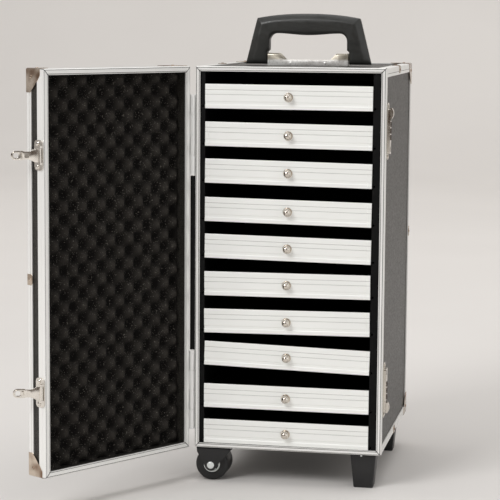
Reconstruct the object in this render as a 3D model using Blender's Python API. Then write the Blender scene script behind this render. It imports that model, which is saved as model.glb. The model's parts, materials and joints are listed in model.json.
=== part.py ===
"""Makeup train case: an upright, aluminium-edged case with a side-hinged door that stands open,
ten drawers, a drop handle, two wheels under its left side and two feet under its right side.

Units are metres and +Z is up. The front of the case faces -Y and its door is hinged on the left.
The origin is the centre of the bottom panel's underside. Meshes are written in the pose with the
door closed and the hasps latched; the door's empty and the hasps' own turns then open them.
"""

import math

import bmesh
import bpy
from mathutils import Matrix, Vector

# Carcass
CASE_WIDTH = 0.277
CASE_DEPTH = 0.330
CASE_HEIGHT = 0.560
GAP = 0.0003
SHEET = 0.0015
PROUD = SHEET + GAP
EDGE_BAND = 0.013
PANEL = 0.0048
REBATE = 0.0002
FRAME_FACE = 0.007
FRAME_PLATE = 0.003

# Door
DOOR_DEPTH = 0.036
DOOR_SEAM = 0.0005
DOOR_OPEN = math.radians(122.6)
DOOR_FACE = 0.0085
DOOR_BAND = 0.0136
DOOR_TRIM_BAND = 0.010
FOAM_BELOW_RIM = 0.013
HINGE_OUT = 0.0038
HINGE_RADIUS = 0.0033
HINGE_PIN = 0.0013
HINGE_LENGTH = 0.117
HINGE_LEAF = 0.0160
KNUCKLES = 4
HINGE_CENTRES = {"upper": 0.461, "lower": 0.086}

# Drawers
DRAWERS = 10
DRAWER_PITCH = 0.0547
DRAWER_FRONT = (0.2436, 0.0030, 0.0352)
DRAWER_RECESS = 0.0005
# Each reed's middle as a share of the front's height, its half width and the width of its sloping side
REEDS = ((0.2275, 0.0027, 0.0011), (0.575, 0.0005, 0.0002), (0.765, 0.0005, 0.0002))
REED_DEPTH = 0.0006
DRAWER_MIDDLE = -0.0024
# How far the left and the right groove of each drawer lie above their even places. The drawers
# don't hang quite level, and the eighth leans the most.
DRAWER_SEATS = ((0.0, -0.0008), (0.0004, -0.0021), (0.0017, -0.002), (0.0005, -0.0031), (0.0015, -0.0019),
                (0.0009, 0.0019), (0.0006, 0.0028), (0.0076, 0.001), (-0.001, -0.0017), (0.0007, 0.0002))
TRAY_WIDTH = 0.2396
TRAY_LENGTH = 0.290
TRAY_HEIGHT = 0.033
TRAY_WALL = 0.0018
WING_REACH = 0.0034
WING_THICK = 0.002
RUNNER_FACE = 0.1222
GROOVE_DEPTH = 0.0042
GROOVE_SLACK = 0.0005

# Locks and hasps on the side away from the hinges
LOCK_SIZE = (0.0058, 0.019, 0.0815)
LOCK_BEHIND_FRAME = 0.0005
LOCK_RIVET_TO_SLOT = 0.011
LOCK_DIALS = (0.0168, 0.0262, 0.0356)
LOCK_SLIDE = 0.0514
SLIDE_SIZE = (0.0046, 0.011, 0.0152)
SLIDE_TRAVEL = 0.003
LATCH_HEIGHTS = {"upper": (0.444, 1), "lower": (0.1193, -1)}
DIAL_RADIUS = 0.0033
DIAL_WIDTH = 0.0070
DIAL_SHAFT = 0.0012
HASP_OPEN = math.radians(135)
HASP_AXIS_OUT = 0.0046
HASP_AXIS_BACK = 0.0030
HASP_REACH = 0.039
HASP_KNUCKLE = 0.0024
HASP_PIN = 0.0010

# Handle
HANDLE_AXIS_UP = 0.569
HANDLE_PIVOT_RADIUS = 0.0085
BRACKET_HALF = 0.0612
BRACKET_DEPTH = 0.018
BRACKET_ROUND = 0.003

# Wheels and feet
STAND_HEIGHT = 0.0515
WHEEL_RADIUS = 0.0243
WHEEL_WIDTH = 0.040
WHEEL_SPACE = 0.0056
AXLE_X = -0.1146
AXLE_RADIUS = 0.003
CHEEK = 0.0025
FOOT_X = 0.1113
FOOT_TOP = (0.038, 0.034)
FOOT_SOLE = (0.0285, 0.0255)

# Derived places
HALF = CASE_WIDTH / 2
FRONT = -CASE_DEPTH / 2
BACK = CASE_DEPTH / 2
LOW = -PROUD
HIGH = LOW + CASE_HEIGHT
FLOOR = LOW - STAND_HEIGHT
HINGE_AXIS = Vector((-HALF - HINGE_OUT, FRONT - DOOR_SEAM / 2, 0))
RIM_PLANE = FRONT - DOOR_SEAM
DOOR_OUT = RIM_PLANE - DOOR_DEPTH
PANEL_OUT = HALF - PROUD
PANEL_IN = PANEL_OUT - PANEL


def clear_scene():
    for item in list(bpy.data.objects):
        bpy.data.objects.remove(item)


def material(name, colour, roughness, metallic=0.0):
    paint = bpy.data.materials.new(name)
    paint.use_nodes = True
    shader = paint.node_tree.nodes["Principled BSDF"]
    shader.inputs["Base Color"].default_value = (*colour, 1)
    shader.inputs["Roughness"].default_value = roughness
    shader.inputs["Metallic"].default_value = metallic
    return paint


def mesh_from(form):
    """Turns a bmesh into a mesh whose faces point out, with round faces smooth."""
    bmesh.ops.recalc_face_normals(form, faces=form.faces)
    mesh = bpy.data.meshes.new("shape")
    form.to_mesh(mesh)
    form.free()
    mesh.shade_smooth()
    mesh.set_sharp_from_angle(angle=math.radians(35))
    return mesh


def box(low, high):
    form = bmesh.new()
    centre = (Vector(low) + Vector(high)) / 2
    size = Vector(high) - Vector(low)
    place = Matrix.Translation(centre) @ Matrix.Diagonal((*size, 1))
    bmesh.ops.create_cube(form, size=1, matrix=place)
    return mesh_from(form)


def prism(outline, axis, start, end):
    """Extrudes a closed outline along X, Y or Z. Its points give the other two coordinates in order."""
    form = bmesh.new()
    spot = "XYZ".index(axis)

    def at(point, level):
        coordinates = list(point)
        coordinates.insert(spot, level)
        return form.verts.new(coordinates)

    first = [at(point, start) for point in outline]
    last = [at(point, end) for point in outline]
    form.faces.new(first)
    form.faces.new(last[::-1])
    for i in range(len(outline)):
        j = (i + 1) % len(outline)
        form.faces.new((first[i], last[i], last[j], first[j]))
    return mesh_from(form)


def turned(profile, steps, origin=(0, 0, 0), axis="Z"):
    """Turns a closed profile of (radius, height) about an axis. Points at radius 0 lie on it."""
    form = bmesh.new()
    verts = [form.verts.new((radius, 0, height)) for radius, height in profile]
    ring = [form.edges.new((verts[i], verts[(i + 1) % len(verts)])) for i in range(len(verts))]
    geometry = verts + ring
    bmesh.ops.spin(form, geom=geometry, axis=(0, 0, 1), cent=(0, 0, 0), steps=steps, angle=math.tau)
    bmesh.ops.remove_doubles(form, verts=form.verts, dist=1e-6)
    loose = [edge for edge in form.edges if not edge.link_faces]
    bmesh.ops.delete(form, geom=loose, context="EDGES")
    turn = Matrix()
    if axis != "Z":
        turn = Matrix.Rotation(math.pi / 2, 4, {"X": "Y", "Y": "X"}[axis])
    bmesh.ops.transform(form, matrix=Matrix.Translation(origin) @ turn, verts=form.verts)
    return mesh_from(form)


def cylinder(radius, length, origin, axis="Z", steps=16):
    """A cylinder centred on origin."""
    spot = "XYZ".index(axis)
    centre = [origin[k] for k in range(3) if k != spot]
    outline = arc(centre, radius, 0, 360, steps)[:-1]
    return prism(outline, axis, origin[spot] - length / 2, origin[spot] + length / 2)


def arc(centre, radius, start, end, steps):
    """Points along an arc, with its angles in degrees."""
    points = []
    for i in range(steps + 1):
        angle = math.radians(start + (end - start) * i / steps)
        points.append((centre[0] + radius * math.cos(angle), centre[1] + radius * math.sin(angle)))
    return points


def rounded_outline(low, high, radius, steps=3):
    """A rectangle with round corners, anticlockwise."""
    corners = ((high[0] - radius, high[1] - radius, 0), (low[0] + radius, high[1] - radius, 90),
               (low[0] + radius, low[1] + radius, 180), (high[0] - radius, low[1] + radius, 270))
    points = []
    for x, y, start in corners:
        points += arc((x, y), radius, start, start + 90, steps)
    return points


def mitred_ring(section, half_width, bottom, top):
    """Sweeps a closed section of (inset, y) points round an upright rectangle, with mitred corners."""
    form = bmesh.new()
    loops = []
    for inset, y in section:
        x = half_width - inset
        low, high = bottom + inset, top - inset
        corners = ((-x, y, low), (x, y, low), (x, y, high), (-x, y, high))
        loops.append([form.verts.new(corner) for corner in corners])
    for i, loop in enumerate(loops):
        following = loops[(i + 1) % len(loops)]
        for j in range(4):
            k = (j + 1) % 4
            form.faces.new((loop[j], loop[k], following[k], following[j]))
    return mesh_from(form)


def combine(base, join=(), cut=(), common=()):
    """The mesh left when Booleans have added, removed and intersected the others in turn."""
    holder = bpy.data.objects.new("holder", base)
    tools = []
    for operation, meshes in (("UNION", join), ("DIFFERENCE", cut), ("INTERSECT", common)):
        for mesh in meshes:
            tool = bpy.data.objects.new("tool", mesh)
            modifier = holder.modifiers.new(operation, "BOOLEAN")
            modifier.operation = operation
            modifier.object = tool
            tools.append(tool)
    for item in (holder, *tools):
        bpy.context.collection.objects.link(item)
    graph = bpy.context.evaluated_depsgraph_get()
    result = bpy.data.meshes.new_from_object(holder.evaluated_get(graph))
    for item in (holder, *tools):
        bpy.data.objects.remove(item)
    form = bmesh.new()
    form.from_mesh(result)
    bmesh.ops.dissolve_limit(form, angle_limit=math.radians(0.5), verts=form.verts, edges=form.edges)
    return mesh_from(form)


def place(name, mesh, paint, origin=(0, 0, 0), parent=None, turn=0.0):
    """Adds a named object whose origin, given in the closed pose, may lie on its joint's axis."""
    origin = Vector(origin)
    mesh.transform(Matrix.Translation(-origin))
    item = bpy.data.objects.new(name, mesh)
    item.location = origin - (parent.location if parent else Vector())
    item.rotation_euler.z = turn
    item.parent = parent
    mesh.materials.clear()
    mesh.materials.append(paint)
    bpy.context.collection.objects.link(item)
    return item


def build_panels(board):
    inside = HALF - PROUD - PANEL - GAP
    front = FRONT + FRAME_PLATE + GAP
    rear = BACK - PROUD
    for name, side in (("left_panel", -1), ("right_panel", 1)):
        x = sorted((side * PANEL_OUT, side * PANEL_IN))
        place(name, box((x[0], front, LOW + PROUD), (x[1], rear, HIGH - PROUD)), board)
    board_low = LOW + PROUD
    under_profiles = box((-inside, front, board_low + REBATE), (inside, rear, board_low + PANEL))
    edge = EDGE_BAND + 2 * GAP
    middle = box((edge - HALF, FRONT + edge, board_low), (HALF - edge, BACK - edge, board_low + PANEL / 2))
    place("bottom_panel", combine(under_profiles, join=(middle,)), board)
    top = box((-inside, front, HIGH - PROUD - PANEL), (inside, rear, HIGH - PROUD))
    place("top_panel", top, board)
    low = LOW + PROUD + PANEL + GAP
    high = HIGH - PROUD - PANEL - GAP
    place("back_panel", box((-inside, rear - PANEL, low), (inside, rear, high)), board)


def build_edges(alloy):
    behind = FRONT + FRAME_PLATE
    front_section = [(0, FRONT + EDGE_BAND), (0, FRONT), (FRAME_FACE, FRONT), (FRAME_FACE, behind),
                     (SHEET, behind), (SHEET, FRONT + EDGE_BAND)]
    place("front_frame", mitred_ring(front_section, HALF, LOW, HIGH), alloy)
    start = FRONT + EDGE_BAND + GAP
    far = 0.01
    inner = HALF - SHEET
    window = HALF - EDGE_BAND
    rear = BACK - EDGE_BAND
    low, high = LOW + EDGE_BAND, HIGH - EDGE_BAND
    hollow = box((-inner, start - far, LOW + SHEET), (inner, BACK - SHEET, HIGH - SHEET))
    through_x = box((-HALF - far, start - far, low), (HALF + far, rear, high))
    through_z = box((-window, start - far, LOW - far), (window, rear, HIGH + far))
    through_y = box((-window, 0, low), (window, BACK + far, high))
    block = box((-HALF, start, LOW), (HALF, BACK, HIGH))
    place("edge_cage", combine(block, cut=(hollow, through_x, through_z, through_y)), alloy)


def drawer_base(number, side=0):
    """Height of a drawer's underside at its left (-1) or right (1) groove, or in the middle."""
    left, right = DRAWER_SEATS[number - 1]
    lift = {-1: left, 0: (left + right) / 2, 1: right}[side]
    return LOW + FRAME_FACE + GAP + (DRAWERS - number) * DRAWER_PITCH + lift


def drawer_roll(number):
    """The angle by which a drawer leans, right end down, as its two grooves hold it."""
    left, right = DRAWER_SEATS[number - 1]
    return math.atan((left - right) / (2 * RUNNER_FACE))


def build_runners(plastic):
    low = LOW + PROUD + PANEL + GAP
    high = HIGH - PROUD - PANEL - GAP
    outer = PANEL_IN - GAP
    front = FRONT + DRAWER_RECESS + DRAWER_FRONT[1] + GAP
    rear = BACK - PROUD - PANEL - GAP
    for name, side in (("left_runner", -1), ("right_runner", 1)):
        face = DRAWER_MIDDLE + side * RUNNER_FACE
        deep = face + side * GROOVE_DEPTH
        outline = [(side * outer, low), (face, low)]
        for number in range(DRAWERS, 0, -1):
            wing = drawer_base(number, side)
            under = wing + WING_THICK - GROOVE_SLACK
            over = wing + 2 * WING_THICK + GROOVE_SLACK
            outline += [(face, under), (deep, under), (deep, over), (face, over)]
        outline += [(face, high), (side * outer, high)]
        place(name, prism(outline, "Y", front, rear), plastic)


def tray_mesh():
    """A drawer's tray with a wing along each side, its underside at z = 0 and its front at y = 0."""
    half = TRAY_WIDTH / 2
    reach = half + WING_REACH
    section = [(-half, 0), (half, 0), (half, WING_THICK), (reach, WING_THICK), (reach, 2 * WING_THICK),
               (half, 2 * WING_THICK), (half, TRAY_HEIGHT), (-half, TRAY_HEIGHT), (-half, 2 * WING_THICK),
               (-reach, 2 * WING_THICK), (-reach, WING_THICK), (-half, WING_THICK)]
    body = prism(section, "Y", 0, TRAY_LENGTH)
    low = (-half + TRAY_WALL, TRAY_WALL, 2 * WING_THICK)
    high = (half - TRAY_WALL, TRAY_LENGTH - TRAY_WALL, TRAY_HEIGHT + 0.01)
    return combine(body, cut=(box(low, high),))


def knob_mesh():
    """A ball knob on a stepped base, turned about Y and pointing to -Y from a root inside the front."""
    base, collar, neck, ball = 0.0070, 0.0050, 0.0034, 0.0058
    root, step, centre = -0.001, 0.0010, 0.0062
    start = math.degrees(math.asin(neck / ball))
    profile = [(0, root), (base, root), (base, step), (collar, step)]
    profile += [(radius, out) for out, radius in arc((centre, 0), ball, 180 - start, 0, 6)[:-1]]
    profile.append((0, centre + ball))
    return turned(profile, 16, axis="Y")


def front_section():
    """A drawer front's outline in y and z, with a broad channel and two narrow grooves in its face."""
    thick, height = DRAWER_FRONT[1:]
    outline = [(thick, 0), (0, 0)]
    for share, half, flank in REEDS:
        z = share * height
        outline += [(0, z - half), (REED_DEPTH, z - half + flank), (REED_DEPTH, z + half - flank), (0, z + half)]
    return outline + [(0, height), (thick, height)]


def front_mesh(roll):
    """A drawer's front with its knob. It leans about the middle of its lower edge, at the origin."""
    width, height = DRAWER_FRONT[0], DRAWER_FRONT[2]
    lean = Matrix.Rotation(roll, 4, "Y")
    plate = prism(front_section(), "X", -width / 2, width / 2)
    plate.transform(lean)
    knob = knob_mesh()
    knob.transform(Matrix.Translation(lean @ Vector((0, 0, height / 2))))
    return combine(plate, join=(knob,))


def build_drawers(tray_plastic, alloy):
    tray = tray_mesh()
    tray.materials.clear()
    tray.materials.append(tray_plastic)
    face = FRONT + DRAWER_RECESS
    behind = face + DRAWER_FRONT[1] + GAP
    for number in range(1, DRAWERS + 1):
        base = drawer_base(number)
        roll = drawer_roll(number)
        place(f"drawer_front_{number:02d}", front_mesh(roll), alloy).location = (DRAWER_MIDDLE, face, base)
        item = bpy.data.objects.new(f"drawer_tray_{number:02d}", tray)
        item.location = (DRAWER_MIDDLE, behind, base)
        item.rotation_euler.y = roll
        bpy.context.collection.objects.link(item)


def build_door(door, board, alloy, foam):
    """The door's shell and frames. Insets run in from its edges and y runs back from its rim plane."""
    rim = [(0, RIM_PLANE - DOOR_BAND), (SHEET, RIM_PLANE - DOOR_BAND), (SHEET, RIM_PLANE - FRAME_PLATE),
           (DOOR_FACE, RIM_PLANE - FRAME_PLATE), (DOOR_FACE, RIM_PLANE), (0, RIM_PLANE)]
    place("door_rim", mitred_ring(rim, HALF, LOW, HIGH), alloy, HINGE_AXIS, door)
    trim = [(0, DOOR_OUT), (EDGE_BAND, DOOR_OUT), (EDGE_BAND, DOOR_OUT + SHEET), (SHEET, DOOR_OUT + SHEET),
            (SHEET, DOOR_OUT + DOOR_TRIM_BAND), (0, DOOR_OUT + DOOR_TRIM_BAND)]
    place("door_edge_trim", mitred_ring(trim, HALF, LOW, HIGH), alloy, HINGE_AXIS, door)
    inside = PANEL_OUT - PANEL
    open_end = RIM_PLANE - FRAME_PLATE - GAP
    floor = DOOR_OUT + PROUD + PANEL
    block = box((-PANEL_OUT, DOOR_OUT + PROUD, LOW + PROUD), (PANEL_OUT, open_end, HIGH - PROUD))
    hollow = box((-inside, floor, LOW + PROUD + PANEL), (inside, open_end + 0.01, HIGH - PROUD - PANEL))
    place("door_shell", combine(block, cut=(hollow,)), board, HINGE_AXIS, door)
    edge = inside - GAP
    pad = box((-edge, floor + GAP, LOW + PROUD + PANEL + GAP),
              (edge, RIM_PLANE - FOAM_BELOW_RIM, HIGH - PROUD - PANEL - GAP))
    place("door_foam", pad, foam, HINGE_AXIS, door)


def build_hinges(door, steel):
    """Each hinge has a case leaf that carries the pin, and a door leaf whose knuckles turn on it."""
    step = HINGE_LENGTH / KNUCKLES
    axis_x, axis_y = HINGE_AXIS.x, HINGE_AXIS.y
    outer = -HALF - GAP
    leaf_x = (outer - SHEET, outer)
    clear = HINGE_RADIUS + GAP
    for name, centre in HINGE_CENTRES.items():
        bottom = LOW + centre - HINGE_LENGTH / 2
        starts = [bottom + i * step + GAP / 2 for i in range(KNUCKLES)]
        spans = [(start, start + step - GAP) for start in starts]
        case_spans, door_spans = spans[0::2], spans[1::2]
        profile = [(0, bottom)]
        for low, high in spans:
            radius = HINGE_RADIUS if (low, high) in case_spans else HINGE_PIN
            profile += [(radius, low), (radius, high)]
        top = spans[-1][1]
        profile.append((0, top))
        barrel = turned(profile, 16, (axis_x, axis_y, 0))
        plate = box((leaf_x[0], axis_y + clear, bottom), (leaf_x[1], axis_y + clear + HINGE_LEAF, top))
        tabs = [box((leaf_x[0], axis_y + 0.0012, low), (leaf_x[1], axis_y + clear + 0.001, high))
                for low, high in case_spans]
        place(f"hinge_leaf_case_{name}", combine(plate, join=(*tabs, barrel)), steel)
        bore = HINGE_PIN + GAP
        tubes = [turned([(bore, low), (HINGE_RADIUS, low), (HINGE_RADIUS, high), (bore, high)], 16,
                        (axis_x, axis_y, 0)) for low, high in door_spans]
        plate = box((leaf_x[0], axis_y - clear - HINGE_LEAF, bottom), (leaf_x[1], axis_y - clear, top))
        tabs = [box((leaf_x[0], axis_y - clear - 0.001, low), (leaf_x[1], axis_y - 0.0020, high))
                for low, high in door_spans]
        place(f"hinge_leaf_door_{name}", combine(plate, join=(*tabs, *tubes)), steel, HINGE_AXIS, door)


def build_seal(rubber):
    """A thin angle between the hinges that shuts the slit beside the open door."""
    low = LOW + HINGE_CENTRES["lower"] + HINGE_LENGTH / 2 + 0.001
    high = LOW + HINGE_CENTRES["upper"] - HINGE_LENGTH / 2 - 0.001
    outer = -HALF - GAP
    y = HINGE_AXIS.y + 0.001
    tip = HINGE_AXIS.x - 0.0032
    thin = 0.001
    outline = [(outer, y), (tip, y), (tip, y + thin), (outer - thin, y + thin), (outer - thin, y + 0.012),
               (outer, y + 0.012)]
    place("hinge_side_seal", prism(outline, "Z", low, high), rubber)


def latch_height(name, along):
    """Height of a point that lies a distance along a lock from its catch slot towards its dials."""
    slot, way = LATCH_HEIGHTS[name]
    return LOW + slot + way * along


def span(a, b):
    return min(a, b), max(a, b)


def build_locks(chrome, dial_paint):
    thick, width, length = LOCK_SIZE
    x = PANEL_OUT + GAP
    face = x + thick
    y = FRONT + EDGE_BAND + LOCK_BEHIND_FRAME
    middle = y + width / 2
    shaft_x = x + 0.0042
    for name in LATCH_HEIGHTS:
        low, high = span(latch_height(name, -LOCK_RIVET_TO_SLOT - 0.004),
                         latch_height(name, length - LOCK_RIVET_TO_SLOT - 0.004))
        body = prism(rounded_outline((y, low), (y + width, high), 0.004), "X", x, face)
        low, high = span(latch_height(name, -0.0036), latch_height(name, 0.0036))
        slot = box((x + 0.001, middle - 0.0035, low), (face, middle + 0.0015, high))
        pockets = []
        for along in LOCK_DIALS:
            centre = latch_height(name, along)
            half = DIAL_WIDTH / 2 + GAP
            wide = DIAL_RADIUS + 0.0007
            pockets.append(box((x + 0.0004, middle - wide, centre - half),
                               (face + 0.001, middle + wide, centre + half)))
        reach = SLIDE_SIZE[2] / 2 + 0.0004
        low, high = span(latch_height(name, LOCK_SLIDE - SLIDE_TRAVEL - reach),
                         latch_height(name, LOCK_SLIDE + reach))
        wide = SLIDE_SIZE[1] / 2 + 0.0005
        window = box((face - 0.003, middle - wide, low), (face + 0.001, middle + wide, high))
        low, high = span(latch_height(name, LOCK_DIALS[0] - 0.0044),
                         latch_height(name, LOCK_DIALS[-1] + 0.0044))
        shaft = cylinder(DIAL_SHAFT, high - low, (shaft_x, middle, (low + high) / 2), steps=10)
        drilled = combine(body, cut=(slot, *pockets, window))
        place(f"lock_body_{name}", combine(drilled, join=(shaft,)), chrome)
        bore = DIAL_SHAFT + GAP
        half = DIAL_WIDTH / 2
        chamfer = 0.0006
        edge, flank = DIAL_RADIUS - chamfer, half - chamfer
        profile = [(bore, -half), (edge, -half), (DIAL_RADIUS, -flank), (DIAL_RADIUS, flank),
                   (edge, half), (bore, half)]
        for number, along in enumerate(LOCK_DIALS, start=1):
            centre = (shaft_x, middle, latch_height(name, along))
            place(f"lock_dial_{name}_{number}", turned(profile, 14, centre), dial_paint, centre)
        button = slide_mesh(name, face, middle)
        place(f"lock_slide_{name}", button, chrome, (face, middle, latch_height(name, LOCK_SLIDE)))


def slide_mesh(name, face, middle):
    """The thumb slide: a low arch along the lock, rooted in the lock's window."""
    crown, width, length = SLIDE_SIZE
    root, end = face - 0.003 + GAP, 0.0019
    steps = 8
    outline = [(root, length / 2), (root, -length / 2)]
    for i in range(steps + 1):
        t = 2 * i / steps - 1
        outline.append((face + end + (crown - end) * (1 - t * t), t * length / 2))
    centre = latch_height(name, LOCK_SLIDE)
    placed = [(a, centre + b) for a, b in outline]
    return prism(placed, "Y", middle - width / 2, middle + width / 2)


def build_hasps(door, chrome):
    wall = HALF + GAP
    axis_x = HALF + HASP_AXIS_OUT
    axis_y = RIM_PLANE - HASP_AXIS_BACK
    for name in LATCH_HEIGHTS:
        centre = latch_height(name, 0)
        axis = Vector((axis_x, axis_y, centre))
        knuckle_half, plate_half, lug = 0.0095, 0.0205, 0.0030
        plate_outline = rounded_outline((axis_y - 0.0145, centre - plate_half),
                                        (axis_y + 0.0022, centre + plate_half), 0.004)
        plate = prism(plate_outline, "X", wall, wall + SHEET)
        base = wall + 0.0005
        lugs = []
        for side in (-1, 1):
            near = centre + side * (knuckle_half + GAP)
            low, high = span(near, near + side * lug)
            outline = [(base, axis_y - HASP_KNUCKLE)] + arc((axis_x, axis_y), HASP_KNUCKLE, -90, 90, 6)
            outline.append((base, axis_y + HASP_KNUCKLE))
            lugs.append(prism(outline, "Z", low, high))
        pin = cylinder(HASP_PIN, 2 * (knuckle_half + lug), axis, steps=10)
        place(f"hasp_plate_{name}", combine(plate, join=(*lugs, pin)), chrome, HINGE_AXIS, door)
        place(f"hasp_{name}", hasp_mesh(axis, knuckle_half), chrome, axis, door, -HASP_OPEN)


def hasp_mesh(axis, half):
    """The hasp as latched: a knuckle, a tapering tongue over the lock and a catch under its end."""
    neck, end = 0.0054, 0.0064
    bore = HASP_PIN + GAP
    tube = turned([(bore, -half), (HASP_KNUCKLE, -half), (HASP_KNUCKLE, half), (bore, half)], 16, axis)
    start = 0.0018
    outline = [(start, -half), (0.006, -half), (0.014, -neck), (0.021, -neck), (0.023, -end)]
    outline += arc((HASP_REACH - end, 0), end, -90, 90, 6)
    outline += [(0.023, end), (0.021, neck), (0.014, neck), (0.006, half), (start, half)]
    placed = [(axis.y + a, axis.z + b) for a, b in outline]
    inner = axis.x + 0.0004
    tongue = prism(placed, "X", inner, inner + 0.0019)
    lock_middle = FRONT + EDGE_BAND + LOCK_BEHIND_FRAME + LOCK_SIZE[1] / 2
    catch = box((inner - 0.0030, lock_middle - 0.0022, axis.z - 0.0028),
                (inner + 0.0010, lock_middle + 0.0002, axis.z + 0.0028))
    return combine(tongue, join=(tube, catch))


def handle_outline():
    """The handle's face in x and z: flared legs, a crowned grip and a belly on its finger side."""
    foot, inner, corner = 0.0960, 0.0622, 0.0785
    bottom = LOW + HANDLE_AXIS_UP - HANDLE_PIVOT_RADIUS
    shoulder, crest = LOW + 0.6295, LOW + 0.6366
    mouth_x, mouth_top = 0.0590, LOW + 0.6065
    step_z = LOW + 0.5795
    belly = 0.0035
    radius = 0.011
    crown = []
    steps = 12
    for i in range(steps + 1):
        t = 2 * i / steps - 1
        crown.append((-corner * t, crest - (crest - shoulder) * abs(t) ** 2.2))
    mouth = arc((-mouth_x + radius, mouth_top - radius), radius, 180, 90, 4)
    reach = mouth_x - radius
    for i in range(1, 8):
        t = i / 4 - 1
        mouth.append((reach * t, mouth_top - belly * (1 + math.cos(math.pi * t)) / 2))
    mouth += arc((mouth_x - radius, mouth_top - radius), radius, 90, 0, 4)
    left_leg = [(-foot, bottom), (-inner, bottom), (-inner, step_z), (-mouth_x, step_z + 0.003)]
    right_leg = [(mouth_x, step_z + 0.003), (inner, step_z), (inner, bottom), (foot, bottom)]
    return left_leg + mouth + right_leg + crown


def build_handle(plastic, chrome):
    axis = Vector((0, 0, LOW + HANDLE_AXIS_UP))
    leg, grip = HANDLE_PIVOT_RADIUS, 0.011
    slab = prism(handle_outline(), "Y", -0.02, 0.02)
    side = arc((0, axis.z), leg, 180, 360, 10)
    side += [(grip, axis.z + 0.034), (grip, axis.z + 0.056), (0.006, axis.z + 0.070),
             (-0.006, axis.z + 0.070), (-grip, axis.z + 0.056), (-grip, axis.z + 0.034)]
    sides = prism(side, "X", -0.12, 0.12)
    bore_x = BRACKET_HALF + 0.004
    bores = [cylinder(0.0028, 0.012, (end * bore_x, 0, axis.z), "X") for end in (-1, 1)]
    grip_mesh = combine(combine(slab, common=(sides,)), cut=bores)
    place("handle_grip", grip_mesh, plastic, axis)
    base = HIGH - PROUD + GAP
    low, high, ear, slope = LOW + 0.5655, LOW + 0.5772, 0.0170, 0.0272
    outline = [(-BRACKET_HALF, base), (BRACKET_HALF, base), (BRACKET_HALF, high),
               (BRACKET_HALF - ear, high), (BRACKET_HALF - slope, low), (-BRACKET_HALF + slope, low),
               (-BRACKET_HALF + ear, high), (-BRACKET_HALF, high)]
    deep = BRACKET_DEPTH / 2
    inner, crown = deep - BRACKET_ROUND, high - BRACKET_ROUND
    side = [(-deep, base), (deep, base)] + arc((inner, crown), BRACKET_ROUND, 0, 90, 4)
    side += arc((-inner, crown), BRACKET_ROUND, 90, 180, 4)
    rounded = prism(side, "X", -BRACKET_HALF - 0.001, BRACKET_HALF + 0.001)
    bracket = combine(prism(outline, "Y", -deep, deep), common=(rounded,))
    stubs = [cylinder(0.0025, 0.010, (end * BRACKET_HALF, 0, axis.z), "X", 12)
             for end in (-1, 1)]
    place("handle_bracket", combine(bracket, join=stubs), chrome)


def cheek_outline():
    """One cheek of a wheel housing in x and z, from its top plate down round the axle."""
    axle = FLOOR + WHEEL_RADIUS
    points = [(AXLE_X - 0.0210, LOW - GAP), (AXLE_X - 0.0205, axle + 0.020),
              (AXLE_X - 0.0165, axle + 0.0125), (AXLE_X - 0.0100, axle + 0.001)]
    points += arc((AXLE_X, axle), 0.0085, 200, 340, 6)
    points += [(AXLE_X + 0.0110, axle + 0.001), (AXLE_X + 0.0290, axle + 0.0215),
               (AXLE_X + 0.0295, LOW - GAP)]
    return points


def build_wheels(plastic, rubber):
    axle = FLOOR + WHEEL_RADIUS
    outer = 0.1605
    plate = 0.0020
    for name, side in (("front", -1), ("rear", 1)):
        near = side * outer
        centre_y = side * (outer - CHEEK - WHEEL_SPACE - WHEEL_WIDTH / 2)
        far = side * (outer - 2 * CHEEK - 2 * WHEEL_SPACE - WHEEL_WIDTH)
        low, high = span(near, near - side * CHEEK)
        front_cheek = prism(cheek_outline(), "Y", low, high)
        low, high = span(far, far + side * CHEEK)
        back_cheek = prism(cheek_outline(), "Y", low, high)
        low, high = span(near, far)
        top = box((AXLE_X - 0.0210, low, LOW - GAP - plate), (AXLE_X + 0.0295, high, LOW - GAP))
        shaft = cylinder(AXLE_RADIUS, high - low, (AXLE_X, (low + high) / 2, axle), "Y", 12)
        housing = combine(top, join=(front_cheek, back_cheek, shaft))
        place(f"caster_housing_{name}", housing, plastic)
        half = WHEEL_WIDTH / 2
        hub, hub_depth, shoulder, bore = 0.0125, 0.003, 0.002, AXLE_RADIUS + GAP
        flank = WHEEL_RADIUS - shoulder
        profile = [(bore, -half + hub_depth), (hub, -half + hub_depth), (hub, -half), (flank, -half),
                   (WHEEL_RADIUS, -half + shoulder), (WHEEL_RADIUS, half - shoulder), (flank, half),
                   (hub, half), (hub, half - hub_depth), (bore, half - hub_depth)]
        centre = (AXLE_X, centre_y, axle)
        place(f"wheel_{name}", turned(profile, 24, centre, "Y"), rubber, centre)


def build_feet(plastic):
    for name, y in (("front", -0.138), ("rear", 0.110)):
        form = bmesh.new()
        loops = []
        for (width, depth), z in ((FOOT_SOLE, FLOOR), (FOOT_TOP, LOW - GAP)):
            outline = rounded_outline((FOOT_X - width / 2, y - depth / 2),
                                      (FOOT_X + width / 2, y + depth / 2), 0.003)
            loops.append([form.verts.new((a, b, z)) for a, b in outline])
        form.faces.new(loops[0][::-1])
        form.faces.new(loops[1])
        for i in range(len(loops[0])):
            j = (i + 1) % len(loops[0])
            form.faces.new((loops[0][i], loops[0][j], loops[1][j], loops[1][i]))
        place(f"foot_{name}", mesh_from(form), plastic)


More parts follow.
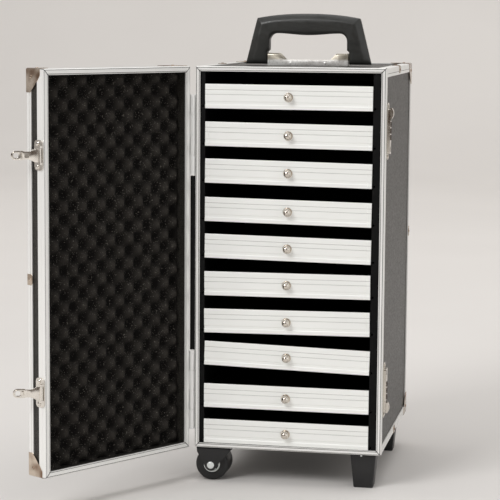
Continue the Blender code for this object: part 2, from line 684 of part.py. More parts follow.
def main():
    clear_scene()
    alloy = material("anodised_aluminium", (0.78, 0.78, 0.77), 0.35, 0.9)
    front_alloy = material("drawer_aluminium", (0.86, 0.86, 0.85), 0.4, 0.7)
    board = material("black_laminate", (0.035, 0.034, 0.033), 0.55)
    runner = material("runner_plastic", (0.012, 0.012, 0.012), 0.6)
    tray = material("tray_plastic", (0.015, 0.015, 0.015), 0.5)
    foam = material("black_foam", (0.012, 0.012, 0.013), 0.95)
    chrome = material("nickel_plate", (0.80, 0.78, 0.75), 0.15, 1.0)
    dial = material("dial_metal", (0.70, 0.68, 0.65), 0.3, 1.0)
    steel = material("hinge_steel", (0.66, 0.66, 0.65), 0.35, 1.0)
    plastic = material("black_plastic", (0.03, 0.03, 0.03), 0.45)
    tyre = material("wheel_rubber", (0.02, 0.02, 0.02), 0.6)

    build_panels(board)
    build_edges(alloy)
    build_runners(runner)
    build_drawers(tray, front_alloy)
    door = bpy.data.objects.new("door_hinge_axis", None)
    door.location = HINGE_AXIS
    door.rotation_euler.z = -DOOR_OPEN
    bpy.context.collection.objects.link(door)
    build_door(door, board, alloy, foam)
    build_hinges(door, steel)
    build_seal(runner)
    build_locks(chrome, dial)
    build_hasps(door, chrome)
    build_handle(plastic, chrome)
    build_wheels(plastic, tyre)
    build_feet(plastic)


main()
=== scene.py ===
import json
import math

import bmesh
import bpy
from mathutils import Matrix, Vector, noise


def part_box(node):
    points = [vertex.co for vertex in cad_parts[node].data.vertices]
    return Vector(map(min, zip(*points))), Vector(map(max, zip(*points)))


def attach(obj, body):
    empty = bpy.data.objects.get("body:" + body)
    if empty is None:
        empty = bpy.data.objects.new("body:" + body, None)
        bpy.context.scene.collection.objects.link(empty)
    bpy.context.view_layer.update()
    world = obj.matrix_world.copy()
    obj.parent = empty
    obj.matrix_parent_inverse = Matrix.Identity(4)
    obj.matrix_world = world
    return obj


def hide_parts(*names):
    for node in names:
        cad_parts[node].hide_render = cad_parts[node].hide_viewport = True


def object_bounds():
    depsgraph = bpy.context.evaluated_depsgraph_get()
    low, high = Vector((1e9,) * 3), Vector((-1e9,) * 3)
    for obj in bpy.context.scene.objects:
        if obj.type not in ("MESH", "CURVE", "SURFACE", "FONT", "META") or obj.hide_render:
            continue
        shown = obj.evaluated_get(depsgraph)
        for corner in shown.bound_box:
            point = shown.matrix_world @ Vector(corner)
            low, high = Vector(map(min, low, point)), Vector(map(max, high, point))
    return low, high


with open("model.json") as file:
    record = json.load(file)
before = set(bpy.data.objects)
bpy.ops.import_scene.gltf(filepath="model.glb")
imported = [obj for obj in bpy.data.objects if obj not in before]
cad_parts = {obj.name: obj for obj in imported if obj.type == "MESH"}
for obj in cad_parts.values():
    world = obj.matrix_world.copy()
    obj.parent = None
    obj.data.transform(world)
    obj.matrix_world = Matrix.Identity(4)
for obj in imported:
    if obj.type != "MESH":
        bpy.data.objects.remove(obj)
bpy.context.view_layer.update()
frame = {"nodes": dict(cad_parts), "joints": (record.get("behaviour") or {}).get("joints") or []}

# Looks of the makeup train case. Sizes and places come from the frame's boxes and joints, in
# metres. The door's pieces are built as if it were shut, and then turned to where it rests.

scene = bpy.context.scene
joints = {joint["name"]: joint for joint in frame["joints"]}
MM = 0.001


def turn_about(point, angle):
    """A turn about the upright line through a point."""
    return Matrix.Translation(point) @ Matrix.Rotation(angle, 4, "Z") @ Matrix.Translation(-point)


door_axis = Vector((*joints["door_hinge"]["pos_m"][:2], 0))
DOOR_TURN = turn_about(door_axis, math.radians(joints["door_hinge"]["range_deg"][0]))


def box_when_shut(node, turn=DOOR_TURN):
    """A door node's lowest and highest corners with the door shut."""
    back_turn = turn.inverted()
    points = [back_turn @ vertex.co for vertex in frame["nodes"][node].data.vertices]
    corners = [[pick(point[axis] for point in points) for axis in range(3)] for pick in (min, max)]
    return Vector(corners[0]), Vector(corners[1])


frame_low, frame_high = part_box("front_frame")
HALF = frame_high.x
FRONT = frame_low.y
LOW = frame_low.z
HIGH = frame_high.z
BAND = frame_high.y - FRONT
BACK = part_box("edge_cage")[1].y
rim_low, rim_high = box_when_shut("door_rim")
trim_low, trim_high = box_when_shut("door_edge_trim")
RIM_PLANE = rim_high.y
DOOR_OUT = trim_low.y
SHEET = 1.5 * MM
MITRE_GAP = 1.4 * MM
GAP = 0.3 * MM


# Outlines

def arc(centre, radius, start, end, steps):
    """Points along an arc, with its angles in degrees."""
    angles = [math.radians(start + (end - start) * i / steps) for i in range(steps + 1)]
    return [(centre[0] + radius * math.cos(a), centre[1] + radius * math.sin(a)) for a in angles]


def soften(outline, radius, steps=3):
    """Rounds every corner of a closed outline."""
    points = []
    count = len(outline)
    for i, corner in enumerate(outline):
        here = Vector(corner)
        before = Vector(outline[i - 1]) - here
        after = Vector(outline[(i + 1) % count]) - here
        start = here + before.normalized() * min(radius, 0.45 * before.length)
        end = here + after.normalized() * min(radius, 0.45 * after.length)
        for k in range(steps + 1):
            t = k / steps
            points.append(tuple(start * (1 - t) ** 2 + here * 2 * t * (1 - t) + end * t * t))
    return points


def rectangle(low, high):
    return [low, (high[0], low[1]), high, (low[0], high[1])]


# Solids, each added to a bmesh

def prism(form, outline, axis, start, end):
    """Extrudes a closed outline along X, Y or Z. Its points give the other two coordinates."""
    spot = "XYZ".index(axis)
    bridge(form, *(ring(form, [(*point[:spot], level, *point[spot:]) for point in outline])
                   for level in (start, end)))


def ring(form, points):
    return [form.verts.new(point) for point in points]


def walls(form, one, two, lines=()):
    """The faces between two matching rings. The sides that lines names take the second paint, the painted
    shade of a groove's bottom.
    """
    for i in range(len(one)):
        j = (i + 1) % len(one)
        form.faces.new((one[i], two[i], two[j], one[j])).material_index = 1 if i in lines else 0


def loft(form, rings, lines=(), end_paint=0):
    """Closes a run of matching rings into a solid."""
    for end in (form.faces.new(rings[0]), form.faces.new(rings[-1][::-1])):
        end.material_index = end_paint
    for one, two in zip(rings, rings[1:]):
        walls(form, one, two, lines)


def bridge(form, first, last, lines=()):
    """A solid between two rings. Its ends take the second paint, a painted shade at the mitres, where lines
    names any sides.
    """
    loft(form, (first, last), lines, 1 if lines else 0)


def line_sides(outline):
    """The sides of a section that run along the bottom of a groove, which are marked by a third value. They
    take the darker second paint, which is painted shade.
    """
    return [i for i, point in enumerate(outline) if len(point) > 2]


def box(form, low, high):
    prism(form, rectangle(low[:2], high[:2]), "Z", low[2], high[2])


def lathe(form, profile, steps, place=Matrix()):
    """Turns (radius, height) points about Z. The profile runs from the axis to the axis, or is a loop."""
    turns = [math.tau * k / steps for k in range(steps)]
    rings = []
    for radius, height in profile:
        angles = turns if radius > 1e-7 else turns[:1]
        points = [Vector((radius * math.cos(a), radius * math.sin(a), height)) for a in angles]
        rings.append(ring(form, [place @ point for point in points]))
    looped = len(rings[0]) > 1
    for i in range(len(rings) - (0 if looped else 1)):
        one, two = rings[i], rings[(i + 1) % len(rings)]
        for k in range(steps):
            m = (k + 1) % steps
            corners = [one[k % len(one)], one[m % len(one)], two[m % len(two)], two[k % len(two)]]
            form.faces.new(list(dict.fromkeys(corners)))


def rod(form, point, direction, radius, length, steps):
    """A round bar that runs in a direction from a point."""
    lathe(form, [(0, 0), (radius, 0), (radius, length), (0, length)], steps, facing(point, direction))


def facing(point, direction):
    """A placement whose Z runs along a direction from a point."""
    return Matrix.Translation(point) @ Vector(direction).to_track_quat("Z", "Y").to_matrix().to_4x4()


def rivet(form, point, direction, radius, height):
    """A low domed rivet head, sunk slightly into what it holds."""
    dome = [(radius * math.cos(a), height * (0.25 + 0.75 * math.sin(a)))
            for a in (math.radians(step * 15) for step in range(6))]
    lathe(form, [(0, -height), (radius, -height), *dome, (0, height)], 20, facing(point, direction))


def screw(form, point, direction, radius):
    """A pan head with a cross slot."""
    height = 0.45 * radius
    slot_half, slot_depth = 0.16 * radius, 0.35 * height
    reach = 0.62 * radius
    head = bmesh.new()
    dome = [(radius * math.cos(a), height * (0.3 + 0.7 * math.sin(a)))
            for a in (math.radians(step * 18) for step in range(5))]
    lathe(head, [(0, -height), (radius, -height), *dome, (0, height)], 16)
    outline = soften(cross(reach, slot_half), 0.2 * slot_half, 1)
    cut = carve(bake(head), [solid(outline, "Z", height - slot_depth, 2 * height)])
    cut.transform(facing(point, direction))
    form.from_mesh(cut)


def cross(reach, half):
    corners = []
    for x, y in ((1, 0), (0, 1), (-1, 0), (0, -1)):
        corners += [(x * reach + y * half, y * reach - x * half),
                    (x * reach - y * half, y * reach + x * half), ((x - y) * half, (x + y) * half)]
    return corners


def bake(form):
    """A mesh from a bmesh, with its faces pointing out."""
    bmesh.ops.recalc_face_normals(form, faces=form.faces)
    mesh = bpy.data.meshes.new("shape")
    form.to_mesh(mesh)
    form.free()
    return mesh


def carve(mesh, cutters, joined=()):
    """The mesh after its cutters are taken away and the joined meshes are added."""
    body = bpy.data.objects.new("body", mesh)
    tools = []
    for operation, group in (("DIFFERENCE", cutters), ("UNION", joined)):
        for cutter in group:
            tool = bpy.data.objects.new("tool", cutter)
            modifier = body.modifiers.new(operation, "BOOLEAN")
            modifier.operation = operation
            modifier.object = tool
            tools.append(tool)
    for item in (body, *tools):
        scene.collection.objects.link(item)
    result = bpy.data.meshes.new_from_object(body.evaluated_get(bpy.context.evaluated_depsgraph_get()))
    for item in (body, *tools):
        bpy.data.objects.remove(item)
    return result


def round_edges(form, width, segments=2, angle=40):
    """Bevels every edge that turns more than an angle."""
    limit = math.radians(angle)
    sharp = [edge for edge in form.edges if edge.is_manifold and edge.calc_face_angle(0) > limit]
    bmesh.ops.bevel(form, geom=sharp, offset=width, segments=segments, profile=0.5, affect="EDGES",
                    clamp_overlap=True)


def solid(outline, axis, start, end, *rounding):
    """An extruded outline as a mesh. rounding gives round_edges its width, segments and angle."""
    form = bmesh.new()
    prism(form, outline, axis, start, end)
    if rounding:
        round_edges(form, *rounding)
    return bake(form)


def block(low, high, *rounding):
    return solid(rectangle(low[:2], high[:2]), "Z", low[2], high[2], *rounding)


def dissolved(mesh):
    """A bmesh of a carved mesh with its flat faces merged again."""
    form = bmesh.new()
    form.from_mesh(mesh)
    bmesh.ops.remove_doubles(form, verts=form.verts, dist=1e-6)
    bmesh.ops.dissolve_limit(form, angle_limit=math.radians(0.5), verts=form.verts, edges=form.edges)
    return form


def piece(name, form, paint, body, replaces=(), turn=None, smooth=32, second=None):
    """Makes a bmesh an object that rides on a body. turn takes it to where it rests."""
    mesh = bake(form)
    mesh.name = name
    if turn:
        mesh.transform(turn)
    mesh.shade_smooth()
    mesh.set_sharp_from_angle(angle=math.radians(smooth))
    mesh.materials.append(paint)
    if second:
        mesh.materials.append(second)
    item = bpy.data.objects.new(name, mesh)
    scene.collection.objects.link(item)
    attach(item, body)
    if replaces:
        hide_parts(*replaces)
    return item


# Materials. Patterns use object coordinates, which are metres here and move with each piece.

def shader_nodes(name, colour, roughness, metallic=0.0, specular=0.5):
    paint = bpy.data.materials.new(name)
    paint.use_nodes = True
    shader = paint.node_tree.nodes["Principled BSDF"]
    shader.inputs["Base Color"].default_value = (*colour, 1)
    shader.inputs["Roughness"].default_value = roughness
    shader.inputs["Metallic"].default_value = metallic
    shader.inputs["Specular IOR Level"].default_value = specular
    return paint, paint.node_tree, shader


def add_node(tree, kind, **inputs):
    """A shader node. Each input is linked to the socket given for it, or set to the value."""
    made = tree.nodes.new("ShaderNode" + kind)
    for name, value in inputs.items():
        socket = made.inputs[name.replace("_", " ")]
        if isinstance(value, bpy.types.NodeSocket):
            tree.links.new(value, socket)
        else:
            socket.default_value = value
    return made


def place_socket(tree):
    return add_node(tree, "TexCoord").outputs["Object"]


def noise_node(tree, scale, detail=2.0, stretch=(1, 1, 1)):
    """Noise in object space. The scale is in waves a metre, times each axis's stretch."""
    mapping = add_node(tree, "Mapping", Vector=place_socket(tree), Scale=[scale * s for s in stretch])
    cloud = add_node(tree, "TexNoise", Vector=mapping.outputs["Vector"], Scale=1.0, Detail=detail)
    return cloud.outputs["Fac"]


def cells_node(tree, scale):
    return add_node(tree, "TexVoronoi", Vector=place_socket(tree), Scale=scale).outputs["Distance"]


def height_node(tree, direction, low, high):
    """How far a point lies from low to high along a direction, as 0 to 1."""
    height = tree.nodes.new("ShaderNodeVectorMath")
    height.operation = "DOT_PRODUCT"
    height.inputs[1].default_value = direction
    tree.links.new(place_socket(tree), height.inputs[0])
    reach = add_node(tree, "MapRange", Value=height.outputs["Value"], From_Min=low, From_Max=high)
    return reach.outputs["Result"]


def mix_node(tree, blend, factor, one, two):
    """A mix of two colours. factor and two are sockets or values."""
    mix = tree.nodes.new("ShaderNodeMix")
    mix.data_type = "RGBA"
    mix.blend_type = blend
    for name, value in (("Factor", factor), ("A", one), ("B", two)):
        if isinstance(value, bpy.types.NodeSocket):
            tree.links.new(value, mix.inputs[name])
        else:
            mix.inputs[name].default_value = value
    return mix.outputs["Result"]


def ramp_node(tree, source, stops):
    """A colour ramp fed by a pattern. stops are (position, colour)."""
    ramp = add_node(tree, "ValToRGB", Fac=source)
    for element, (position, colour) in zip(ramp.color_ramp.elements, stops):
        element.position = position
        element.color = (*colour, 1)
    return ramp.outputs["Color"]


def grey(value):
    return (value, value, value)


def scaled(colour, factor):
    return tuple(part * factor for part in colour)


def vary_colour(tree, shader, source, dark, light, start=0.35, stop=0.65):
    colour = ramp_node(tree, source, [(start, dark), (stop, light)])
    tree.links.new(colour, shader.inputs["Base Color"])


def vary_roughness(tree, shader, source, low, high, start=0.35, stop=0.65):
    value = ramp_node(tree, source, [(start, grey(low)), (stop, grey(high))])
    tree.links.new(value, shader.inputs["Roughness"])


def add_bump(tree, shader, source, depth):
    """Bump of a depth in metres."""
    bump = add_node(tree, "Bump", Strength=1.0, Distance=depth, Height=source)
    tree.links.new(bump.outputs["Normal"], shader.inputs["Normal"])


def alloy_paint(name, colour, roughness, metallic, stretch=(1, 1, 1)):
    """Satin anodised aluminium with fine draw lines along the axis whose stretch is small."""
    paint, tree, shader = shader_nodes(name, colour, roughness, metallic)
    lines = noise_node(tree, 900, 2.0, stretch)
    vary_colour(tree, shader, noise_node(tree, 9, 2.0), scaled(colour, 0.965), colour)
    vary_roughness(tree, shader, lines, roughness - 0.05, roughness + 0.07)
    add_bump(tree, shader, lines, 0.000012)
    return paint


def laminate_paint():
    """Black pebbled laminate."""
    paint, tree, shader = shader_nodes("black_pebbled_laminate", grey(0.02), 0.40, specular=0.42)
    pebbles = cells_node(tree, 620)
    vary_colour(tree, shader, pebbles, (0.052, 0.047, 0.040), (0.008, 0.0075, 0.0065), 0.2, 0.7)
    vary_roughness(tree, shader, noise_node(tree, 420, 2.0), 0.34, 0.50)
    add_bump(tree, shader, pebbles, 0.00011)
    return paint


def plastic_paint(name, colour, roughness, grain_scale, grain_depth):
    """Moulded plastic or rubber with a fine grain and slight colour patches."""
    paint, tree, shader = shader_nodes(name, colour, roughness)
    vary_colour(tree, shader, noise_node(tree, 25, 3.0), scaled(colour, 0.85), scaled(colour, 1.15))
    vary_roughness(tree, shader, noise_node(tree, 120, 2.0), roughness - 0.06, roughness + 0.08)
    add_bump(tree, shader, noise_node(tree, grain_scale, 3.0), grain_depth)
    return paint


def nickel_paint(name, colour, roughness, dark=None, scale=60, detail=2.0, edges=(0.35, 0.65)):
    """Nickel plate with smudges in its gloss. Its patches are slightly darker unless dark is given; a dark
    colour given there paints reflection into them.
    """
    paint, tree, shader = shader_nodes(name, colour, roughness, 1.0)
    patches = noise_node(tree, scale, detail)
    vary_colour(tree, shader, patches, dark or scaled(colour, 0.93), colour, *edges)
    vary_roughness(tree, shader, noise_node(tree, 130, 3.0), roughness - 0.05, roughness + 0.08)
    add_bump(tree, shader, noise_node(tree, 300, 1.0), 0.000004)
    return paint


def bracket_paint():
    """A channel of nickel plate with painted reflection: bright and speckled low down, and dark brown up on
    its ears, by height.
    """
    paint, tree, shader = shader_nodes("bracket_nickel", (0.8, 0.78, 0.74), 0.34, 0.8)
    low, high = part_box("handle_bracket")
    # Painted reflection: bright low down, dark brown on the ears, set by height.
    share = height_node(tree, (0, 0, 1), low.z, high.z)
    base = ramp_node(tree, share, [(0.38, (0.95, 0.945, 0.92)), (0.56, (0.42, 0.385, 0.32))])
    specks = ramp_node(tree, noise_node(tree, 420, 2.0), [(0.36, grey(0.7)), (0.46, grey(1))])
    tree.links.new(mix_node(tree, "MULTIPLY", 0.6, base, specks), shader.inputs["Base Color"])
    vary_roughness(tree, shader, noise_node(tree, 130, 3.0), 0.28, 0.42)
    add_bump(tree, shader, noise_node(tree, 420, 2.0), 0.00003)
    return paint


def foam_paint():
    """Charcoal open-cell foam with painted shade: dark down between the bumps and paler on their tops, by
    height. It has light specks.
    """
    paint, tree, shader = shader_nodes("charcoal_foam", grey(0.012), 0.95, specular=0.1)
    low, high = box_when_shut("door_foam")
    outward = DOOR_TURN.to_3x3() @ Vector((0, 1, 0))
    shift = (DOOR_TURN @ Vector((0, low.y, 0))).dot(outward) - low.y
    # Painted shade: the colour darkens with depth from the bumps' tops into the valleys, where shade falls.
    share = height_node(tree, outward, low.y + shift + 4 * MM, high.y + shift)
    base = ramp_node(tree, share, [(0.2, (0.0055, 0.005, 0.0045)), (1.0, (0.038, 0.034, 0.030))])
    specks = ramp_node(tree, noise_node(tree, 560, 1.0), [(0.66, grey(0)), (0.72, grey(1))])
    colour = mix_node(tree, "MIX", specks, base, (0.13, 0.12, 0.105, 1))
    tree.links.new(colour, shader.inputs["Base Color"])
    add_bump(tree, shader, noise_node(tree, 1300, 2.0), 0.0006)
    return paint


def dark_paint(name, value, roughness, specular=0.12):
    """A near-black inner surface with a little unevenness."""
    paint, tree, shader = shader_nodes(name, grey(value), roughness, specular=specular)
    vary_colour(tree, shader, noise_node(tree, 40, 3.0), grey(value * 0.8), grey(value * 1.3))
    add_bump(tree, shader, noise_node(tree, 1500, 2.0), 0.00003)
    return paint


upright_alloy = alloy_paint("satin_aluminium", (0.93, 0.93, 0.91), 0.36, 0.4)
drawer_alloy = alloy_paint("drawer_aluminium", (0.96, 0.97, 0.945), 0.42, 0.3, (0.02, 1, 1))
# Grey painted shade for the bottoms of the drawer fronts' two thin lines.
reed_shade_alloy = alloy_paint("reed_shade_aluminium", (0.60, 0.60, 0.585), 0.5, 0.3)
# Near-black painted shade for the bottoms of the frames' grooves and the ends of their mitred lengths.
groove_shadow_alloy = alloy_paint("groove_shadow_aluminium", (0.05, 0.047, 0.045), 0.5, 0.2)
zinc = alloy_paint("zinc_plate", (0.86, 0.89, 0.88), 0.34, 0.5)
hinge_alloy = alloy_paint("hinge_alloy", (0.86, 0.86, 0.85), 0.36, 0.5)
laminate = laminate_paint()
foam_black = foam_paint()
lock_nickel = nickel_paint("lock_nickel", (0.66, 0.62, 0.56), 0.20)
hasp_nickel = nickel_paint("hasp_nickel", (0.86, 0.82, 0.76), 0.22)
knob_nickel = nickel_paint("knob_nickel", (0.74, 0.68, 0.61), 0.14)
dial_nickel = nickel_paint("dial_nickel", (0.13, 0.11, 0.095), 0.36)
# The caps' dark brown patches are a painted reflection of the dark brown room.
cap_nickel = nickel_paint("cap_nickel", (0.70, 0.60, 0.50), 0.16, (0.27, 0.18, 0.125), 48, 1.0, (0.36, 0.62))
bracket_nickel = bracket_paint()
handle_black = plastic_paint("handle_plastic", (0.024, 0.0245, 0.0225), 0.36, 1100, 0.00003)
foot_black = plastic_paint("foot_plastic", (0.010, 0.010, 0.0105), 0.38, 1400, 0.00004)
tyre_black = plastic_paint("tyre_rubber", (0.009, 0.009, 0.0095), 0.42, 700, 0.00004)
runner_black = dark_paint("runner_board", 0.004, 0.6)
tray_black = dark_paint("tray_plastic", 0.005, 0.5)
digit_black = dark_paint("digit_enamel", 0.012, 0.4)


def paint_node(name, paint):
    frame["nodes"][name].material_slots[0].material = paint


# Frames and edge profiles

def plate_section(face, plate, band):
    """A rim profile of (inset, depth) points: a grooved face, a sloping nose and a grooved flange. The face's
    groove bottoms are marked for painted shade.
    """
    nose, lip, groove, deep = 1.2 * MM, 0.9 * MM, 0.9 * MM, 0.9 * MM
    slant = 0.1 * MM
    flange_line, flange_deep = 5.4 * MM, 0.3 * MM
    inner = face - lip
    return [
        (0, band), (0, flange_line + groove), (flange_deep, flange_line + groove - slant),
        (flange_deep, flange_line + slant), (0, flange_line), (0.45 * MM, 0.9 * MM), (nose, 0.25 * MM),
        (nose + slant, deep, "line"), (nose + groove - slant, deep), (nose + groove, 0), (inner - groove, 0),
        (inner - groove + slant, deep, "line"), (inner - slant, deep), (inner, 0.2 * MM), (face, 0.3 * MM),
        (face, plate), (SHEET, plate), (SHEET, band),
    ]


def edge_section(face, band):
    """An angle profile of (inset, depth) points with a round nose and one line along each side: a groove
    whose bottom is marked for painted shade.
    """
    radius, groove, deep = 2.2 * MM, 0.8 * MM, 0.7 * MM
    side, top = 0.62 * band, 0.62 * face
    nose = [(radius - x, radius - y) for x, y in arc((0, 0), radius, 0, 90, 5)]
    return [(0, band), (0, side + groove), (deep, side + 0.8 * groove, "line"), (deep, side + 0.2 * groove),
            (0, side), *nose, (top, 0), (top + 0.2 * groove, deep, "line"), (top + 0.8 * groove, deep),
            (top + groove, 0), (face, 0), (face, SHEET), (SHEET, SHEET), (SHEET, band)]


def mitred_members(form, section, half, low, high):
    """Four lengths of one section of (inset, y) round an upright rectangle, a hair apart at each mitre."""
    lines = line_sides(section)
    for i in range(4):
        first, last = [], []
        for inset, y, *_ in section:
            x, bottom, top = half - inset, low + inset, high - inset
            corners = [Vector((a, y, b)) for a, b in rectangle((-x, bottom), (x, top))]
            start, end = corners[i], corners[(i + 1) % 4]
            along = (end - start).normalized() * MITRE_GAP / 2
            first.append(form.verts.new(start + along))
            last.append(form.verts.new(end - along))
        bridge(form, first, last, lines)


def build_profiles():
    def framed(name, section, node, body="case", turn=None):
        form = bmesh.new()
        mitred_members(form, section, HALF, LOW, HIGH)
        # Groove bottoms and mitred ends take the near-black painted shade.
        piece(name, form, upright_alloy, body, [node], turn, second=groove_shadow_alloy)

    face, plate = 7.0 * MM, 3.0 * MM
    section = [(inset, FRONT + depth, *mark) for inset, depth, *mark in plate_section(face, plate, BAND)]
    framed("front_frame_profile", section, "front_frame")
    face = 8.5 * MM
    band = RIM_PLANE - rim_low.y
    section = [(inset, RIM_PLANE - depth, *mark) for inset, depth, *mark in plate_section(face, plate, band)]
    framed("door_rim_profile", section, "door_rim", "door", DOOR_TURN)
    deep = trim_high.y - DOOR_OUT
    section = [(inset, DOOR_OUT + depth, *mark) for inset, depth, *mark in edge_section(BAND, deep)]
    framed("door_edge_profile", section, "door_edge_trim", "door", DOOR_TURN)

    form = bmesh.new()
    section = edge_section(BAND, BAND)
    mitred_members(form, [(inset, BACK - depth, *mark) for inset, depth, *mark in section], HALF, LOW, HIGH)
    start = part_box("edge_cage")[0].y
    for side in (-1, 1):
        for edge, way in ((LOW, 1), (HIGH, -1)):
            outline = [(side * (HALF - a), edge + way * b) for a, b, *_ in section]
            ends = (start, BACK - BAND - MITRE_GAP)
            bridge(form, *(ring(form, [(x, y, z) for x, z in outline]) for y in ends), line_sides(section))
    # Groove bottoms and the lengths' ends take the near-black painted shade.
    piece("edge_profiles", form, upright_alloy, "case", ["edge_cage"], second=groove_shadow_alloy)


# Pressed caps on corners and edges

CAP_PROUD = 0.8 * MM
CAP_THICK = 1.0 * MM


def cap_face(form, corner, along, across, reach_a, reach_b):
    """One face of a corner cap: a leg along each edge, and a web between the legs."""
    leg = 9.5 * MM
    start, end = Vector((reach_a, leg)), Vector((leg, reach_b))
    pull = Vector((0.7 * reach_a, 0.7 * reach_b))
    steps = 8
    outline = [Vector((0, 0)), Vector((reach_a, 0))]
    for k in range(steps + 1):
        t = k / steps
        outline.append(start * (1 - t) ** 2 + pull * 2 * t * (1 - t) + end * t * t)
    outline.append(Vector((0, reach_b)))
    form.faces.new(ring(form, [corner + along * p.x + across * p.y for p in outline]))


def corner_cap(form, corner, ways, reaches):
    """A three-legged cap with round edges, over the outside corner whose edges run in three ways."""
    cap = bmesh.new()
    axes = [Vector([way if i == k else 0 for i in range(3)]) for k, way in enumerate(ways)]
    outer = corner - sum(axes, Vector()) * CAP_PROUD
    for a, b in ((0, 1), (1, 2), (0, 2)):
        cap_face(cap, outer, axes[a], axes[b], reaches[a], reaches[b])
    press(cap, 2.6 * MM, corner + sum(axes, Vector()))
    rivet_in = 0.36
    for a, b in ((0, 1), (1, 2), (0, 2)):
        c = 3 - a - b
        spot = outer + axes[a] * reaches[a] * rivet_in + axes[b] * reaches[b] * rivet_in
        rivet(cap, spot, -axes[c], 2.3 * MM, 1.0 * MM)
    form.from_mesh(bake(cap))


def press(form, radius, inside):
    """Makes flat faces a pressed sheet: rounds their folds and thickens them on a point's side."""
    bmesh.ops.remove_doubles(form, verts=form.verts, dist=1e-6)
    folds = [edge for edge in form.edges if len(edge.link_faces) == 2]
    bmesh.ops.recalc_face_normals(form, faces=form.faces)
    bmesh.ops.bevel(form, geom=folds, offset=radius, segments=4, profile=0.5, affect="EDGES")
    bmesh.ops.recalc_face_normals(form, faces=form.faces)
    biggest = max(form.faces, key=lambda face: face.calc_area())
    if biggest.normal.dot(inside - biggest.calc_center_median()) > 0:
        bmesh.ops.reverse_faces(form, faces=form.faces)
    bmesh.ops.solidify(form, geom=list(form.faces), thickness=CAP_THICK)


def edge_clip(form, middle, along, ways):
    """A small riveted angle that wraps an edge. along is the edge's axis, and ways point inward."""
    length, width = 15.0 * MM, 12.0 * MM
    clip = bmesh.new()
    edge = Vector([1 if i == along else 0 for i in range(3)])
    sides = [Vector([ways[i] if i == k else 0 for i in range(3)]) for k in range(3) if k != along]
    outer = middle - (sides[0] + sides[1]) * CAP_PROUD
    for side in sides:
        half = [(0.5 * length, 0), (0.5 * length, 0.75 * width), (0.3 * length, width)]
        outline = [(-a, b) for a, b in half] + half[::-1]
        clip.faces.new(ring(clip, [outer + edge * a + side * b for a, b in outline]))
    press(clip, 2.4 * MM, middle + sides[0] + sides[1])
    for side, other in (sides, sides[::-1]):
        rivet(clip, outer + side * 0.55 * width, -other, 2.0 * MM, 0.9 * MM)
    form.from_mesh(bake(clip))


def build_caps():
    leg, door_leg = 33 * MM, 29.5 * MM
    middle_z = (LOW + HIGH) / 2
    form = bmesh.new()
    for side in (-1, 1):
        for edge, way in ((LOW, 1), (HIGH, -1)):
            corner_cap(form, Vector((side * HALF, BACK, edge)), (-side, -1, way), (leg, leg, leg))
            edge_clip(form, Vector((side * HALF, 0, edge)), 1, (-side, 0, way))
        edge_clip(form, Vector((side * HALF, BACK, middle_z + 14 * MM)), 2, (-side, -1, 0))
    piece("case_corner_caps", form, cap_nickel, "case")

    form = bmesh.new()
    for side in (-1, 1):
        for edge, way in ((LOW, 1), (HIGH, -1)):
            corner_cap(form, Vector((side * HALF, DOOR_OUT, edge)), (-side, 1, way), (leg, door_leg, leg))
        edge_clip(form, Vector((side * HALF, DOOR_OUT, middle_z - 7 * MM)), 2, (-side, 1, 0))
    piece("door_corner_caps", form, cap_nickel, "door", turn=DOOR_TURN)


# Drawers

def face_section(height, thick):
    """A drawer front's (z, depth) outline: two thin lines, one broad channel and rounded edges. The lines'
    bottoms are marked for a grey painted shade.
    """
    line, line_deep, slant = 1.0 * MM, 0.75 * MM, 0.2 * MM
    channel_low, channel_high, channel_deep, flank = 0.15 * height, 0.305 * height, 0.9 * MM, 1.1 * MM
    nose = 0.5 * MM
    points = [(0, thick), (0, nose), (0.15 * MM, 0.15 * MM), (nose, 0)]
    points += [(channel_low, 0), (channel_low + flank, channel_deep), (channel_high - flank, channel_deep),
               (channel_high, 0)]
    for share in (0.575, 0.765):
        middle = share * height
        points += [(middle - line / 2, 0), (middle - line / 2 + slant, line_deep, "line"),
                   (middle + line / 2 - slant, line_deep), (middle + line / 2, 0)]
    return points + [(height - nose, 0), (height - 0.15 * MM, 0.15 * MM), (height, nose), (height, thick)]


def drawer_seat(node):
    """A drawer front's width, height and placement. It leans, so the width lies along its lower edge."""
    points = [vertex.co for vertex in frame["nodes"][node].data.vertices]
    left = min(points, key=lambda point: point.x + point.z)
    right = max(points, key=lambda point: point.x - point.z)
    upper = min(points, key=lambda point: point.x - point.z)
    width = math.hypot(right.x - left.x, right.z - left.z)
    height = math.hypot(upper.x - left.x, upper.z - left.z)
    back = max(point.y for point in points)
    lean = math.atan2(left.z - right.z, right.x - left.x)
    place = Matrix.Translation(((left.x + right.x) / 2, back - 3.0 * MM, (left.z + right.z) / 2))
    return width, height, place @ Matrix.Rotation(lean, 4, "Y")


def drawer_face(width, height, place):
    """A reeded front with a cross line near each end, lofted along its width."""
    thick, half = 3.0 * MM, width / 2
    end_line, line = 5.2 * MM, 0.4 * MM
    stations = [(-half, 0.35), (-half + 0.4 * MM, 0), (-half + end_line, 0), (-half + end_line + line, 0.5),
                (-half + end_line + 2 * line, 0)]
    stations += [(-x, sunk) for x, sunk in stations[::-1]]
    section = face_section(height, thick)
    form = bmesh.new()
    rings = []
    for x, sunk in stations:
        depths = [min(thick, depth + (sunk * MM if depth < 2 * MM else 0)) for _, depth, *_ in section]
        points = [place @ Vector((x, y, point[0])) for point, y in zip(section, depths)]
        rings.append(ring(form, points))
    loft(form, rings, line_sides(section))
    return form


